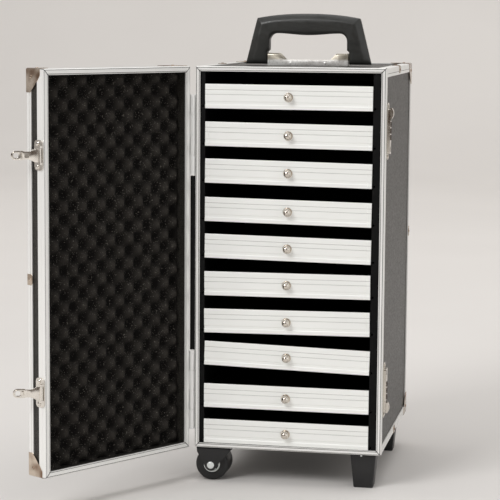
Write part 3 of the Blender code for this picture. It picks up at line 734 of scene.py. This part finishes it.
def knob(place):
    """A ball knob on a dished base."""
    ball, centre, neck = 5.8 * MM, 6.2 * MM, 3.4 * MM
    start = math.degrees(math.asin(neck / ball))
    base = ((0, -0.9), (6.9, -0.9), (7.0, 0.5), (6.7, 1.1), (6.1, 1.25), (5.0, 0.95), (4.4, 1.15),
            (3.7, 1.35))
    profile = [(radius * MM, out * MM) for radius, out in base]
    profile += [(radius, out) for out, radius in arc((centre, 0), ball, 180 - start, 0, 12)[:-1]]
    profile.append((0, centre + ball))
    form = bmesh.new()
    lathe(form, profile, 36, place @ Matrix.Rotation(math.pi / 2, 4, "X"))
    return form


def build_drawers():
    for number in range(1, 11):
        node = f"drawer_front_{number:02d}"
        body = f"drawer_{number:02d}"
        width, height, place = drawer_seat(node)
        # The thin lines' bottoms take the grey painted shade.
        piece(f"drawer_face_{number:02d}", drawer_face(width, height, place), drawer_alloy, body,
              [node], smooth=20, second=reed_shade_alloy)
        form = knob(place @ Matrix.Translation((0, 0, height / 2)))
        piece(f"drawer_knob_{number:02d}", form, knob_nickel, body)
        paint_node(f"drawer_tray_{number:02d}", tray_black)


# Door's foam

def build_foam():
    """Egg-crate foam: staggered peaks on a slab, with each peak's height and place slightly off."""
    low, high = box_when_shut("door_foam")
    drift_seed = 7
    noise.seed_set(drift_seed)
    pitch = 35 * MM
    step = 1.9 * MM
    valley = low.y + 4.5 * MM
    crest = high.y
    columns = round((high.x - low.x) / step)
    rows = round((high.z - low.z) / step)
    form = bmesh.new()
    grid = []
    for i in range(columns + 1):
        x = low.x + (high.x - low.x) * i / columns
        line = []
        for k in range(rows + 1):
            z = low.z + (high.z - low.z) * k / rows
            drift = noise.noise_vector(Vector((x, 0, z)) * 22) * 1.6 * MM
            wave = math.cos(math.tau * (x + drift.x) / pitch) * math.cos(math.tau * (z + drift.z) / pitch)
            lift = (0.5 + 0.5 * wave) ** 1.25
            uneven = 1 + 0.10 * noise.noise(Vector((x, 3, z)) * 40)
            rough = 0.25 * MM * noise.noise(Vector((x, 7, z)) * 420)
            y = min(crest, valley + (crest - valley) * lift * uneven * 0.95 + rough)
            line.append(form.verts.new((x, y, z)))
        grid.append(line)
    for i in range(columns):
        for k in range(rows):
            form.faces.new((grid[i][k], grid[i][k + 1], grid[i + 1][k + 1], grid[i + 1][k]))
    border = [grid[i][0] for i in range(columns + 1)] + [grid[-1][k] for k in range(1, rows + 1)]
    border += [grid[i][-1] for i in range(columns - 1, -1, -1)] + [grid[0][k] for k in range(rows - 1, 0, -1)]
    base = ring(form, [(vertex.co.x, low.y, vertex.co.z) for vertex in border])
    walls(form, base, border)
    form.faces.new(base)
    piece("door_foam_pad", form, foam_black, "door", ["door_foam"], DOOR_TURN, smooth=60)


# Handle

def handle_stations(axis_z, foot_low, top):
    """(outer point, inner point, half depth, grip share) from the left foot round to the right one."""
    foot_x, inner_x, mouth_x, shoulder_x = 96 * MM, 62.2 * MM, 59 * MM, 78.5 * MM
    shoulder_z = top - 7.1 * MM
    mouth_top = top - 30.1 * MM
    radius = 11 * MM
    belly = 3.5 * MM
    foot_radius = axis_z - foot_low
    turn_x, turn_z = mouth_x - radius, mouth_top - radius
    step_z = foot_low + 19 * MM

    def leg_x(z):
        return -foot_x + (foot_x - shoulder_x) * (z - foot_low) / (shoulder_z - foot_low)

    def crown_z(x):
        return top - (top - shoulder_z) * abs(x / shoulder_x) ** 2.2

    def depth(z):
        if z < axis_z:
            return math.sqrt(max(1e-8, foot_radius ** 2 - (axis_z - z) ** 2))
        return foot_radius + (11 * MM - foot_radius) * min(1, (z - axis_z) / (34 * MM))

    left = []
    for angle in (4, 14, 28, 45, 65, 90):
        z = axis_z - foot_radius * math.cos(math.radians(angle))
        left.append(((leg_x(z), z), (-inner_x, z), depth(z), 0.0))
    for z in (step_z - 3 * MM, step_z - 0.4 * MM):
        left.append(((leg_x(z), z), (-inner_x, z), depth(z), 0.0))
    for share in (0.0, 0.35, 0.7):
        z = step_z + 2.6 * MM + (turn_z - step_z - 2.6 * MM) * share
        left.append(((leg_x(z), z), (-mouth_x, z), depth(z), 0.0))
    for angle in (180, 170, 160, 150, 141, 135, 131.5, 128, 122, 114, 106, 98):
        away = math.radians(angle)
        direction = Vector((math.cos(away), math.sin(away)))
        inner = Vector((-turn_x, turn_z)) + direction * radius
        reach = radius
        while True:
            outer = Vector((-turn_x, turn_z)) + direction * reach
            if outer.x < leg_x(outer.y) or outer.y > crown_z(outer.x):
                break
            reach += 0.05 * MM
        share = max(0.0, (150 - angle) / 150)
        left.append((tuple(outer), tuple(inner), 11 * MM, share))
    grip = []
    steps = 18
    for i in range(steps + 1):
        t = 2 * i / steps - 1
        x = t * turn_x
        swell = 0.5 + 0.5 * math.cos(math.pi * t)
        share = 0.4 + 0.6 * swell
        grip.append(((x, crown_z(x)), (x, mouth_top - belly * swell), 11 * MM, share))
    right = [((-o[0], o[1]), (-i[0], i[1]), d, s) for o, i, d, s in left[::-1]]
    return left + grip + right


def handle_ring():
    """The legs' section as (across, depth) from -1 to 1: flat faces with a broad outer chamfer."""
    corners = [(-1, -0.72), (-0.82, -1), (0.34, -1), (1, -0.42), (1, 0.42), (0.34, 1), (-0.82, 1), (-1, 0.72)]
    return soften(corners, 0.16, 4)


def build_handle():
    low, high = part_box("handle_grip")
    axis_z = joints["handle_fold"]["pos_m"][2]
    section = handle_ring()
    roundness = 2.6
    form = bmesh.new()
    rings = []
    for outer, inner, half_depth, grip in handle_stations(axis_z, low.z, high.z):
        outer, inner = Vector(outer), Vector(inner)
        middle, reach = (outer + inner) / 2, (outer - inner) / 2
        points = []
        for across, deep in section:
            away = math.atan2(deep, across)
            radius = (abs(math.cos(away)) ** roundness + abs(math.sin(away)) ** roundness) ** (-1 / roundness)
            a = across * (1 - grip) + radius * math.cos(away) * grip
            d = deep * (1 - grip) + radius * math.sin(away) * grip
            point = middle + reach * a
            points.append((point.x, d * half_depth, point.y))
        rings.append(ring(form, points))
    loft(form, rings)
    piece("handle_moulding", form, handle_black, "handle", ["handle_grip"], smooth=42)


def build_bracket():
    """The channel between the handle's legs, with rounded ears, pivot pins and rivets."""
    axis_z = joints["handle_fold"]["pos_m"][2]
    low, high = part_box("handle_bracket")
    half, ear, slope = 61.2 * MM, 17 * MM, 27.2 * MM
    waist = low.z + 8.7 * MM
    sheet, ear_round = 1.8 * MM, 3 * MM
    outline = [(-half, low.z), (half, low.z), (half, high.z), (half - ear, high.z), (half - slope, waist),
               (-half + slope, waist), (-half + ear, high.z), (-half, high.z)]
    cutters = [block((-half + sheet, low.y + sheet, low.z + sheet),
                     (half - sheet, high.y - sheet, high.z + sheet))]
    for way in (-1, 1):
        inner, crown = way * (high.y - ear_round), high.z - ear_round
        outside = way * (high.y + MM)
        bow = [(inner + way * a, crown + b) for a, b in arc((0, 0), ear_round, 0, 90, 5)]
        curve = [(outside, crown), *bow, (inner, high.z + MM), (outside, high.z + MM)]
        cutters.append(solid(curve, "X", -half - MM, half + MM))
    form = dissolved(carve(solid(soften(outline, 1.2 * MM), "Y", low.y, high.y), cutters))
    round_edges(form, 0.4 * MM, 2, 50)
    for side in (-1, 1):
        rod(form, (side * (half - 3 * MM), 0, axis_z), (side, 0, 0), 2.5 * MM, 7.4 * MM, 16)
        for y in (low.y, high.y):
            rivet(form, Vector((side * 26 * MM, y, low.z + 4 * MM)), (0, math.copysign(1, y), 0),
                  1.8 * MM, 0.6 * MM)
    piece("handle_bracket_channel", form, bracket_nickel, "case", ["handle_bracket"])


# Locks and hasps

def build_lock(name, way):
    """A lock's body, rivets, dials and thumb slide. way is 1 where the dials lie above the slot."""
    low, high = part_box(f"lock_body_{name}")
    middle_y = (low.y + high.y) / 2
    face = high.x
    base_top = low.x + 2.2 * MM
    slot_z = (low.z if way > 0 else high.z) + way * 15 * MM
    outline = soften(rectangle((low.y, low.z), (high.y, high.z)), 6 * MM, 6)
    base = solid(outline, "X", low.x, base_top, 0.5 * MM, 3)
    inset, end = 1.2 * MM, 8.2 * MM
    core = rectangle((low.y + inset, low.z + end), (high.y - inset, high.z - end))
    raised = solid(soften(core, 3 * MM, 5), "X", low.x + MM, face, 1.2 * MM, 4, 60)

    cutters = []

    def cut(start_y, end_y, start_z, end_z, corner, floor):
        outline = soften(rectangle((start_y, start_z), (end_y, end_z)), corner)
        cutters.append(solid(outline, "X", floor, face + MM))

    dial_boxes = [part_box(f"lock_dial_{name}_{k}") for k in (1, 2, 3)]
    slack = 0.45 * MM
    for dial_low, dial_high in dial_boxes:
        cut(dial_low.y - slack, dial_high.y + slack, dial_low.z - slack, dial_high.z + slack,
            0.8 * MM, max(low.x + 0.3 * MM, dial_low.x - slack))
    slide_low, slide_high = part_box(f"lock_slide_{name}")
    travel, side_slack = 3 * MM, 0.5 * MM
    track = [slide_low.z - 0.4 * MM, slide_high.z + 0.4 * MM]
    track[0 if way > 0 else 1] -= way * travel
    cut(slide_low.y - side_slack, slide_high.y + side_slack, *track, MM, face - 3 * MM)
    slot_half = 3.6 * MM
    cut(middle_y - 3.5 * MM, middle_y + 1.5 * MM, slot_z - slot_half, slot_z + slot_half,
        0.8 * MM, low.x + MM)
    form = dissolved(carve(carve(raised, [], [base]), cutters))
    for end_z in (low.z + 4.1 * MM, high.z - 4.1 * MM):
        rivet(form, Vector((base_top, middle_y, end_z)), (1, 0, 0), 2.7 * MM, 1.5 * MM)
    shaft_low = min(pair[0].z for pair in dial_boxes) - 0.9 * MM
    shaft_high = max(pair[1].z for pair in dial_boxes) + 0.9 * MM
    shaft_x = (dial_boxes[0][0].x + dial_boxes[0][1].x) / 2
    rod(form, (shaft_x, middle_y, shaft_low), (0, 0, 1), 1.2 * MM, shaft_high - shaft_low, 12)
    piece(f"lock_case_{name}", form, lock_nickel, "case", [f"lock_body_{name}"])
    for k, (dial_low, dial_high) in enumerate(dial_boxes, start=1):
        build_dial(name, k, dial_low, dial_high)
    build_slide(name, slide_low, slide_high)


def build_dial(name, number, low, high):
    """A milled dial with ten raised digits round it."""
    centre = (low + high) / 2
    radius, half = (high.x - low.x) / 2, (high.z - low.z) / 2
    bore, notches, notch_cut = 1.5 * MM, 20, 0.93
    levels = [(-half, 0.88), (-half + 0.5 * MM, 0.97), (-half + 1.6 * MM, 0.97), (-half + 1.9 * MM, 0.90),
              (half - 1.9 * MM, 0.90), (half - 1.6 * MM, 0.97), (half - 0.5 * MM, 0.97), (half, 0.88)]
    turns = [math.tau * k / (2 * notches) for k in range(2 * notches)]
    form = bmesh.new()
    rings = []
    for z, share in levels:
        points = []
        for k, a in enumerate(turns):
            away = radius * share * (notch_cut if k % 2 and share > 0.95 else 1.0)
            points.append(centre + Vector((math.cos(a), math.sin(a), 0)) * away + Vector((0, 0, z)))
        rings.append(ring(form, points))
    for z in (half, -half):
        points = [centre + Vector((bore * math.cos(a), bore * math.sin(a), z)) for a in turns]
        rings.append(ring(form, points))
    for i in range(len(rings)):
        walls(form, rings[i], rings[(i + 1) % len(rings)])
    body = f"lock_dial_{name}_{number}"
    piece(f"dial_wheel_{name}_{number}", form, dial_nickel, body, [body])
    face_out = Matrix.Rotation(math.pi / 2, 4, "Z") @ Matrix.Rotation(math.pi / 2, 4, "X")
    digits = bmesh.new()
    for value in range(10):
        turn = Matrix.Rotation(-math.tau * (value - 2 * number) / 10, 4, "Z")
        place = Matrix.Translation(centre) @ turn @ Matrix.Translation((0.885 * radius, 0, 0))
        mark = digit_mesh(value, 2.3 * MM, 0.1 * radius)
        mark.transform(place @ face_out)
        digits.from_mesh(mark)
    piece(f"dial_digits_{name}_{number}", digits, digit_black, body)


def digit_mesh(value, size, thick):
    """A plain digit, centred, that faces +Z."""
    curve = bpy.data.curves.new("digit", "FONT")
    curve.body = str(value)
    curve.size = size
    curve.align_x = "CENTER"
    curve.align_y = "CENTER"
    curve.extrude = thick / 2
    curve.resolution_u = 2
    holder = bpy.data.objects.new("digit", curve)
    scene.collection.objects.link(holder)
    mesh = bpy.data.meshes.new_from_object(holder.evaluated_get(bpy.context.evaluated_depsgraph_get()))
    bpy.data.objects.remove(holder)
    return mesh


def build_slide(name, low, high):
    """The thumb slide: a low arch with finger ridges across its crown."""
    lock_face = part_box(f"lock_body_{name}")[1].x
    centre_z, half = (low.z + high.z) / 2, (high.z - low.z) / 2
    end = lock_face + 1.9 * MM
    crown = high.x - 0.45 * MM
    steps = 16
    outline = [(low.x, centre_z + half), (low.x, centre_z - half)]
    for i in range(steps + 1):
        t = 2 * i / steps - 1
        outline.append((end + (crown - end) * (1 - t * t), centre_z + t * half))
    form = bmesh.new()
    prism(form, outline, "Y", low.y, high.y)
    round_edges(form, 0.5 * MM, 3, 50)
    middle_y = (low.y + high.y) / 2
    wide = 0.36 * (high.y - low.y)
    ridge_pitch, ridge_half = 1.9 * MM, 0.45 * MM
    for k in (-1.5, -0.5, 0.5, 1.5):
        z = centre_z + k * ridge_pitch
        top = end + (crown - end) * (1 - (k * ridge_pitch / half) ** 2) + 0.4 * MM
        ridge = soften(rectangle((top - 1.2 * MM, z - ridge_half), (top, z + ridge_half)), 0.3 * MM)
        prism(form, ridge, "Y", middle_y - wide, middle_y + wide)
    piece(f"lock_button_{name}", form, lock_nickel, f"lock_slide_{name}", [f"lock_slide_{name}"])


def build_hasp(name):
    """The hinge plate on the door and the hasp that swings on its pin, both drawn as latched."""
    joint = joints[f"hasp_{name}_hinge"]
    axis = DOOR_TURN.inverted() @ Vector(joint["pos_m"])
    wall = HALF + GAP
    plate_half = 20.5 * MM
    knuckle_half, knuckle, lug = 9.5 * MM, 2.4 * MM, 3 * MM
    form = bmesh.new()
    outline = rectangle((axis.y - 14.5 * MM, axis.z - plate_half), (axis.y + 2.2 * MM, axis.z + plate_half))
    prism(form, soften(outline, 6 * MM, 6), "X", wall, wall + SHEET)
    round_edges(form, 0.4 * MM)
    for side in (-1, 1):
        near = axis.z + side * (knuckle_half + GAP)
        far = near + side * lug
        outline = [(wall + 0.5 * MM, axis.y - knuckle), *arc((axis.x, axis.y), knuckle, -90, 90, 10),
                   (wall + 0.5 * MM, axis.y + knuckle)]
        prism(form, outline, "Z", min(near, far), max(near, far))
        spot = Vector((wall + SHEET, axis.y - 8 * MM, axis.z + side * 15.6 * MM))
        rivet(form, spot, (1, 0, 0), 3.2 * MM, 2.0 * MM)
    pin_half = knuckle_half + lug
    rod(form, axis - Vector((0, 0, pin_half)), (0, 0, 1), MM, 2 * pin_half, 12)
    piece(f"hasp_base_{name}", form, hasp_nickel, "door", [f"hasp_plate_{name}"], DOOR_TURN)

    neck, end, reach = 5.4 * MM, 6.4 * MM, 39 * MM
    half = knuckle_half - 0.2 * MM
    inner = axis.x + 0.4 * MM
    outer = inner + 1.9 * MM

    def placed(points):
        return [(axis.y + a, axis.z + b) for a, b in points]

    side = [(1.8 * MM, half), (6 * MM, half), (14 * MM, neck), (21 * MM, neck), (23 * MM, end)]
    outline = side + arc((reach - end, 0), end, 90, -90, 14) + [(a, -b) for a, b in side[::-1]]
    tongue = solid(placed(soften(outline, 1.2 * MM, 2)), "X", inner, inner + 1.5 * MM)
    gap = placed(rectangle((28.6 * MM, -3.2 * MM), (35.4 * MM, 3.2 * MM)))
    form = dissolved(carve(tongue, [solid(soften(gap, 2.4 * MM, 4), "X", inner - MM, inner + 3 * MM)]))
    round_edges(form, 0.35 * MM)
    rims = []
    for start, half_width, inset in ((25.5 * MM, 5.0 * MM, 1.4 * MM), (27 * MM, 3.9 * MM, 2.5 * MM)):
        bow = arc((reach - end, 0), end - inset, 90, -90, 12)
        rims.append(placed([(start, half_width), *bow, (start, -half_width)]))
    raised = bmesh.new()
    low_x = inner - 0.45 * MM
    loops = [ring(raised, [(x, a, b) for a, b in rim])
             for x, rim in ((low_x, rims[0]), (low_x, rims[1]), (outer, rims[1]), (outer, rims[0]))]
    for i in range(4):
        walls(raised, loops[i], loops[(i + 1) % 4])
    bmesh.ops.recalc_face_normals(raised, faces=raised.faces)
    round_edges(raised, 0.25 * MM)
    form.from_mesh(bake(raised))
    pad = soften(placed(rectangle((14.5 * MM, -3.4 * MM), (20.5 * MM, 3.4 * MM))), 1.2 * MM)
    form.from_mesh(solid(pad, "X", inner - 0.4 * MM, outer, 0.3 * MM))
    tube = facing(axis - Vector((0, 0, knuckle_half)), (0, 0, 1))
    bore, tall = 1.3 * MM, 2 * knuckle_half
    lathe(form, [(bore, 0), (knuckle, 0), (knuckle, tall), (bore, tall)], 24, tube)
    lock_low, lock_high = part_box(f"lock_body_{name}")
    lock_y = (lock_low.y + lock_high.y) / 2
    form.from_mesh(block((inner - 3 * MM, lock_y - 2.2 * MM, axis.z - 2.8 * MM),
                         (inner + MM, lock_y + 0.2 * MM, axis.z + 2.8 * MM), 0.3 * MM))
    turn = DOOR_TURN @ turn_about(axis, math.radians(joint["range_deg"][0]))
    piece(f"hasp_tongue_{name}", form, hasp_nickel, f"hasp_{name}", [f"hasp_{name}"], turn)


# Hinges

def leaf_form(low, high, barrel_spans, hole):
    """A hinge leaf beside the hinge's axis, with its knuckles and screws. It has the pin if hole is 0."""
    outer = -HALF - GAP
    radius, round_in, pin = 3.3 * MM, 0.3 * MM, 1.3 * MM
    way = 1 if high.y > door_axis.y + 8 * MM else -1
    edge = door_axis.y + way * (radius + GAP)
    far = high.y if way > 0 else low.y
    form = bmesh.new()
    outline = rectangle((min(edge, far), low.z), (max(edge, far), high.z))
    prism(form, soften(outline, 0.8 * MM), "X", outer - SHEET, outer)
    round_edges(form, 0.3 * MM)
    tab = sorted((edge + way * 0.5 * MM, door_axis.y + (1.2 if way > 0 else -2.0) * MM))
    for bottom, top in barrel_spans:
        place = facing(Vector((*door_axis.xy, bottom)), (0, 0, 1))
        tall = top - bottom
        wall = [(radius - round_in, 0), (radius, round_in)]
        wall += [(out, tall - z) for out, z in wall[::-1]]
        lathe(form, [(hole, 0), *wall, (hole, tall)], 28, place)
        box(form, (outer - SHEET, tab[0], bottom), (outer, tab[1], top))
    if not hole:
        rod(form, (*door_axis.xy, low.z), (0, 0, 1), pin, high.z - low.z, 16)
    for share in (0.1, 0.37, 0.63, 0.9):
        spot = Vector((outer - SHEET, (edge + far) / 2, low.z + (high.z - low.z) * share))
        screw(form, spot, (-1, 0, 0), 2.6 * MM)
    return form


def build_hinges():
    knuckles, hole = 4, 1.6 * MM
    for name in ("upper", "lower"):
        low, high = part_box(f"hinge_leaf_case_{name}")
        step = (high.z - low.z) / knuckles
        spans = [(low.z + i * step, low.z + (i + 1) * step - GAP) for i in range(knuckles)]
        piece(f"hinge_case_leaf_{name}", leaf_form(low, high, spans[0::2], 0), hinge_alloy, "case",
              [f"hinge_leaf_case_{name}"])
        low, high = box_when_shut(f"hinge_leaf_door_{name}")
        piece(f"hinge_door_leaf_{name}", leaf_form(low, high, spans[1::2], hole), hinge_alloy, "door",
              [f"hinge_leaf_door_{name}"], DOOR_TURN)


# Wheels and feet

def build_wheel(name):
    """A wheel's tyre, and its hub's rim and spokes on both sides."""
    low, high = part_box(f"wheel_{name}")
    centre = (low + high) / 2
    radius, half = (high.z - low.z) / 2, (high.y - low.y) / 2
    bore, hub, recess, corner = 3.3 * MM, 12.5 * MM, half - 3.0 * MM, 4 * MM
    upper = [(bore, recess), (hub - 0.6 * MM, recess), (hub, recess + 0.6 * MM),
             (hub + 0.2 * MM, half - 0.4 * MM), (hub + 0.8 * MM, half), (radius - corner - 0.2 * MM, half)]
    upper += arc((radius - corner, half - corner), corner, 84, 12, 8)
    upper += [(radius - 0.05 * MM, 0.35 * half), (radius, 0)]
    form = bmesh.new()
    lathe(form, upper + [(r, -h) for r, h in upper[-2::-1]], 72, facing(centre, (0, 1, 0)))
    piece(f"wheel_tyre_{name}", form, tyre_black, f"wheel_{name}", [f"wheel_{name}"])
    form = bmesh.new()
    spoke = soften(rectangle((4.5 * MM, -1.1 * MM), (hub - 1.5 * MM, 1.1 * MM)), 0.4 * MM)
    for way in (-1, 1):
        side = facing(centre, (0, way, 0))
        lathe(form, arc((hub - 1.4 * MM, half - 1.1 * MM), 1.35 * MM, 0, 330, 11), 64, side)
        for k in range(6):
            turn = side @ Matrix.Rotation(math.tau * k / 6, 4, "Z")
            bridge(form, *(ring(form, [turn @ Vector((a, b, z)) for a, b in spoke])
                           for z in (recess - 0.2 * MM, recess + 1.1 * MM)))
    piece(f"wheel_hub_{name}", form, zinc, f"wheel_{name}")


def build_housing(name):
    """Two tapering cheeks under a top plate, the wheel's axle and a domed rivet on each cheek."""
    low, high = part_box(f"caster_housing_{name}")
    axle = Vector(joints[f"wheel_{name}_spin"]["pos_m"])
    cheek = 2.5 * MM
    outline = [(low.x, high.z), (low.x + 0.5 * MM, axle.z + 20 * MM), (low.x + 4.5 * MM, axle.z + 12.5 * MM),
               (axle.x - 10 * MM, axle.z + MM)]
    outline += arc((axle.x, axle.z), 8.5 * MM, 205, 335, 10)
    outline += [(axle.x + 10.5 * MM, axle.z + MM), (high.x - 0.5 * MM, axle.z + 21.5 * MM), (high.x, high.z)]
    form = bmesh.new()
    for start in (low.y, high.y - cheek):
        form.from_mesh(solid(soften(outline, 0.8 * MM, 2), "Y", start, start + cheek, 0.5 * MM, 2, 60))
    form.from_mesh(block((low.x, low.y, high.z - 2 * MM), high, 0.5 * MM))
    piece(f"wheel_housing_{name}", form, foot_black, "case", [f"caster_housing_{name}"])
    form = bmesh.new()
    rod(form, (axle.x, low.y, axle.z), (0, 1, 0), 3 * MM, high.y - low.y, 20)
    for y, way in ((low.y, -1), (high.y, 1)):
        rivet(form, Vector((axle.x, y, axle.z)), (0, way, 0), 5.4 * MM, 2.2 * MM)
    piece(f"wheel_axle_{name}", form, zinc, "case")


def build_foot(name):
    """A tapered block with rounded edges, and the head of the screw that holds it."""
    low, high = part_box(f"foot_{name}")
    centre = (low + high) / 2
    form = bmesh.new()
    levels = [(low.z, 0.94), (low.z + 0.5 * MM, 0.985), (low.z + 1.2 * MM, 1.0), (high.z - 1.2 * MM, 1.0),
              (high.z - 0.3 * MM, 0.985), (high.z, 0.96)]
    crown = (high - low).xy / 2
    sole = Vector((14.25 * MM, 12.75 * MM))
    rings = []
    for z, trim in levels:
        reach = sole.lerp(crown, (z - low.z) / (high.z - low.z)) * trim
        outline = soften(rectangle(centre.xy - reach, centre.xy + reach), 2.6 * MM, 4)
        rings.append(ring(form, [(x, y, z) for x, y in outline]))
    loft(form, rings)
    piece(f"foot_block_{name}", form, foot_black, "case", [f"foot_{name}"])
    form = bmesh.new()
    front_top = Vector((centre.x - 2.6 * MM, low.y + 0.6 * MM, high.z - 2.6 * MM))
    screw(form, front_top, (0, -1, 0.12), 1.6 * MM)
    piece(f"foot_screw_{name}", form, zinc, "case")


# Room

def scenery(name, mesh, paint):
    mesh.materials.append(paint)
    item = bpy.data.objects.new(name, mesh)
    scene.collection.objects.link(item)
    return item


def build_room():
    """A pale sweep, dark cards that only reflections see, and soft lights."""
    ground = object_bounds()[0].z
    paint, tree, shader = shader_nodes("pale_sweep", (0.74, 0.72, 0.70), 0.9, specular=0.1)
    vary_colour(tree, shader, noise_node(tree, 1.5, 2.0), (0.735, 0.712, 0.69), (0.75, 0.727, 0.705))
    radius, wall, near, side = 3.0, 5.0, -30.0, 30.0
    curve = [(near, 0)] + [(wall + y, radius + z) for y, z in arc((0, 0), radius, -90, 0, 24)]
    curve.append((wall + radius, 12))
    form = bmesh.new()
    rows = [ring(form, [(x, y, ground + z) for y, z in curve]) for x in (-side, side)]
    for i in range(len(curve) - 1):
        form.faces.new((rows[0][i], rows[1][i], rows[1][i + 1], rows[0][i + 1]))
    mesh = bpy.data.meshes.new("sweep")
    form.to_mesh(mesh)
    form.free()
    mesh.shade_smooth()
    scenery("sweep", mesh, paint)

    paint, tree, shader = shader_nodes("dark_card", (0.12, 0.085, 0.062), 0.9, specular=0.0)
    vary_colour(tree, shader, noise_node(tree, 2, 1.0), (0.11, 0.078, 0.057), (0.13, 0.092, 0.067))
    cards = (("card_front", (-0.6, -4.6, 1.3), 0, 3.4), ("card_left", (-4.2, -3.5, 1.3), -70, 4.6))
    for name, middle, turn, width in cards:
        mesh = block((-width / 2, -0.01, -1.25), (width / 2, 0.01, 1.25))
        mesh.transform(Matrix.Translation(middle) @ Matrix.Rotation(math.radians(turn), 4, "Z"))
        card = scenery(name, mesh, paint)
        card.visible_camera = False
        card.visible_diffuse = False
        card.visible_shadow = False

    world = bpy.data.worlds.new("studio")
    world.use_nodes = True
    sky = world.node_tree.nodes["Background"]
    sky.inputs["Color"].default_value = (0.80, 0.785, 0.77, 1)
    sky.inputs["Strength"].default_value = 0.62
    scene.world = world

    def area(name, place, target, size, power, colour=(1, 1, 1)):
        light = bpy.data.lights.new(name, "AREA")
        light.shape = "RECTANGLE"
        light.size, light.size_y = size
        light.energy = power
        light.color = colour
        lamp = bpy.data.objects.new(name, light)
        lamp.location = place
        lamp.rotation_euler = (Vector(target) - Vector(place)).to_track_quat("-Z", "Y").to_euler()
        scene.collection.objects.link(lamp)

    aim = (0, 0, 0.28)
    area("key", (-1.5, -2.6, 2.3), aim, (1.5, 1.5), 62)
    area("fill", (2.6, -1.2, 1.2), aim, (2.4, 2.4), 11)
    area("top", (0.2, 0.4, 2.8), aim, (2.2, 2.2), 26)
    area("backdrop", (0.0, 2.2, 4.6), (0, 7.0, 2.0), (7.0, 2.0), 165, (1.0, 0.985, 0.965))


def build_camera():
    position = Vector((0.46021, -2.85817, 0.62727))
    yaw, pitch, roll = -0.18956, 0.12106, 0.00693
    ahead = Vector((math.sin(yaw) * math.cos(pitch), math.cos(yaw) * math.cos(pitch), -math.sin(pitch)))
    right = Vector((math.cos(yaw), -math.sin(yaw), 0))
    above = right.cross(ahead)
    x_axis = right * math.cos(roll) + above * math.sin(roll)
    y_axis = above * math.cos(roll) - right * math.sin(roll)
    lens = bpy.data.cameras.new("camera")
    lens.lens = 137.2
    lens.sensor_width = 36
    camera = bpy.data.objects.new("camera", lens)
    camera.matrix_world = Matrix((x_axis, y_axis, -ahead)).transposed().to_4x4()
    camera.location = position
    scene.collection.objects.link(camera)
    scene.camera = camera


build_profiles()
build_caps()
build_drawers()
build_foam()
build_handle()
build_bracket()
for lock_name, lock_way in (("upper", 1), ("lower", -1)):
    build_lock(lock_name, lock_way)
    build_hasp(lock_name)
build_hinges()
for end_name in ("front", "rear"):
    build_wheel(end_name)
    build_housing(end_name)
    build_foot(end_name)
for panel in ("left_panel", "right_panel", "top_panel", "bottom_panel", "back_panel", "door_shell"):
    paint_node(panel, laminate)
for runner in ("left_runner", "right_runner", "hinge_side_seal"):
    paint_node(runner, runner_black)
build_room()
build_camera()
scene.view_settings.view_transform = "Standard"
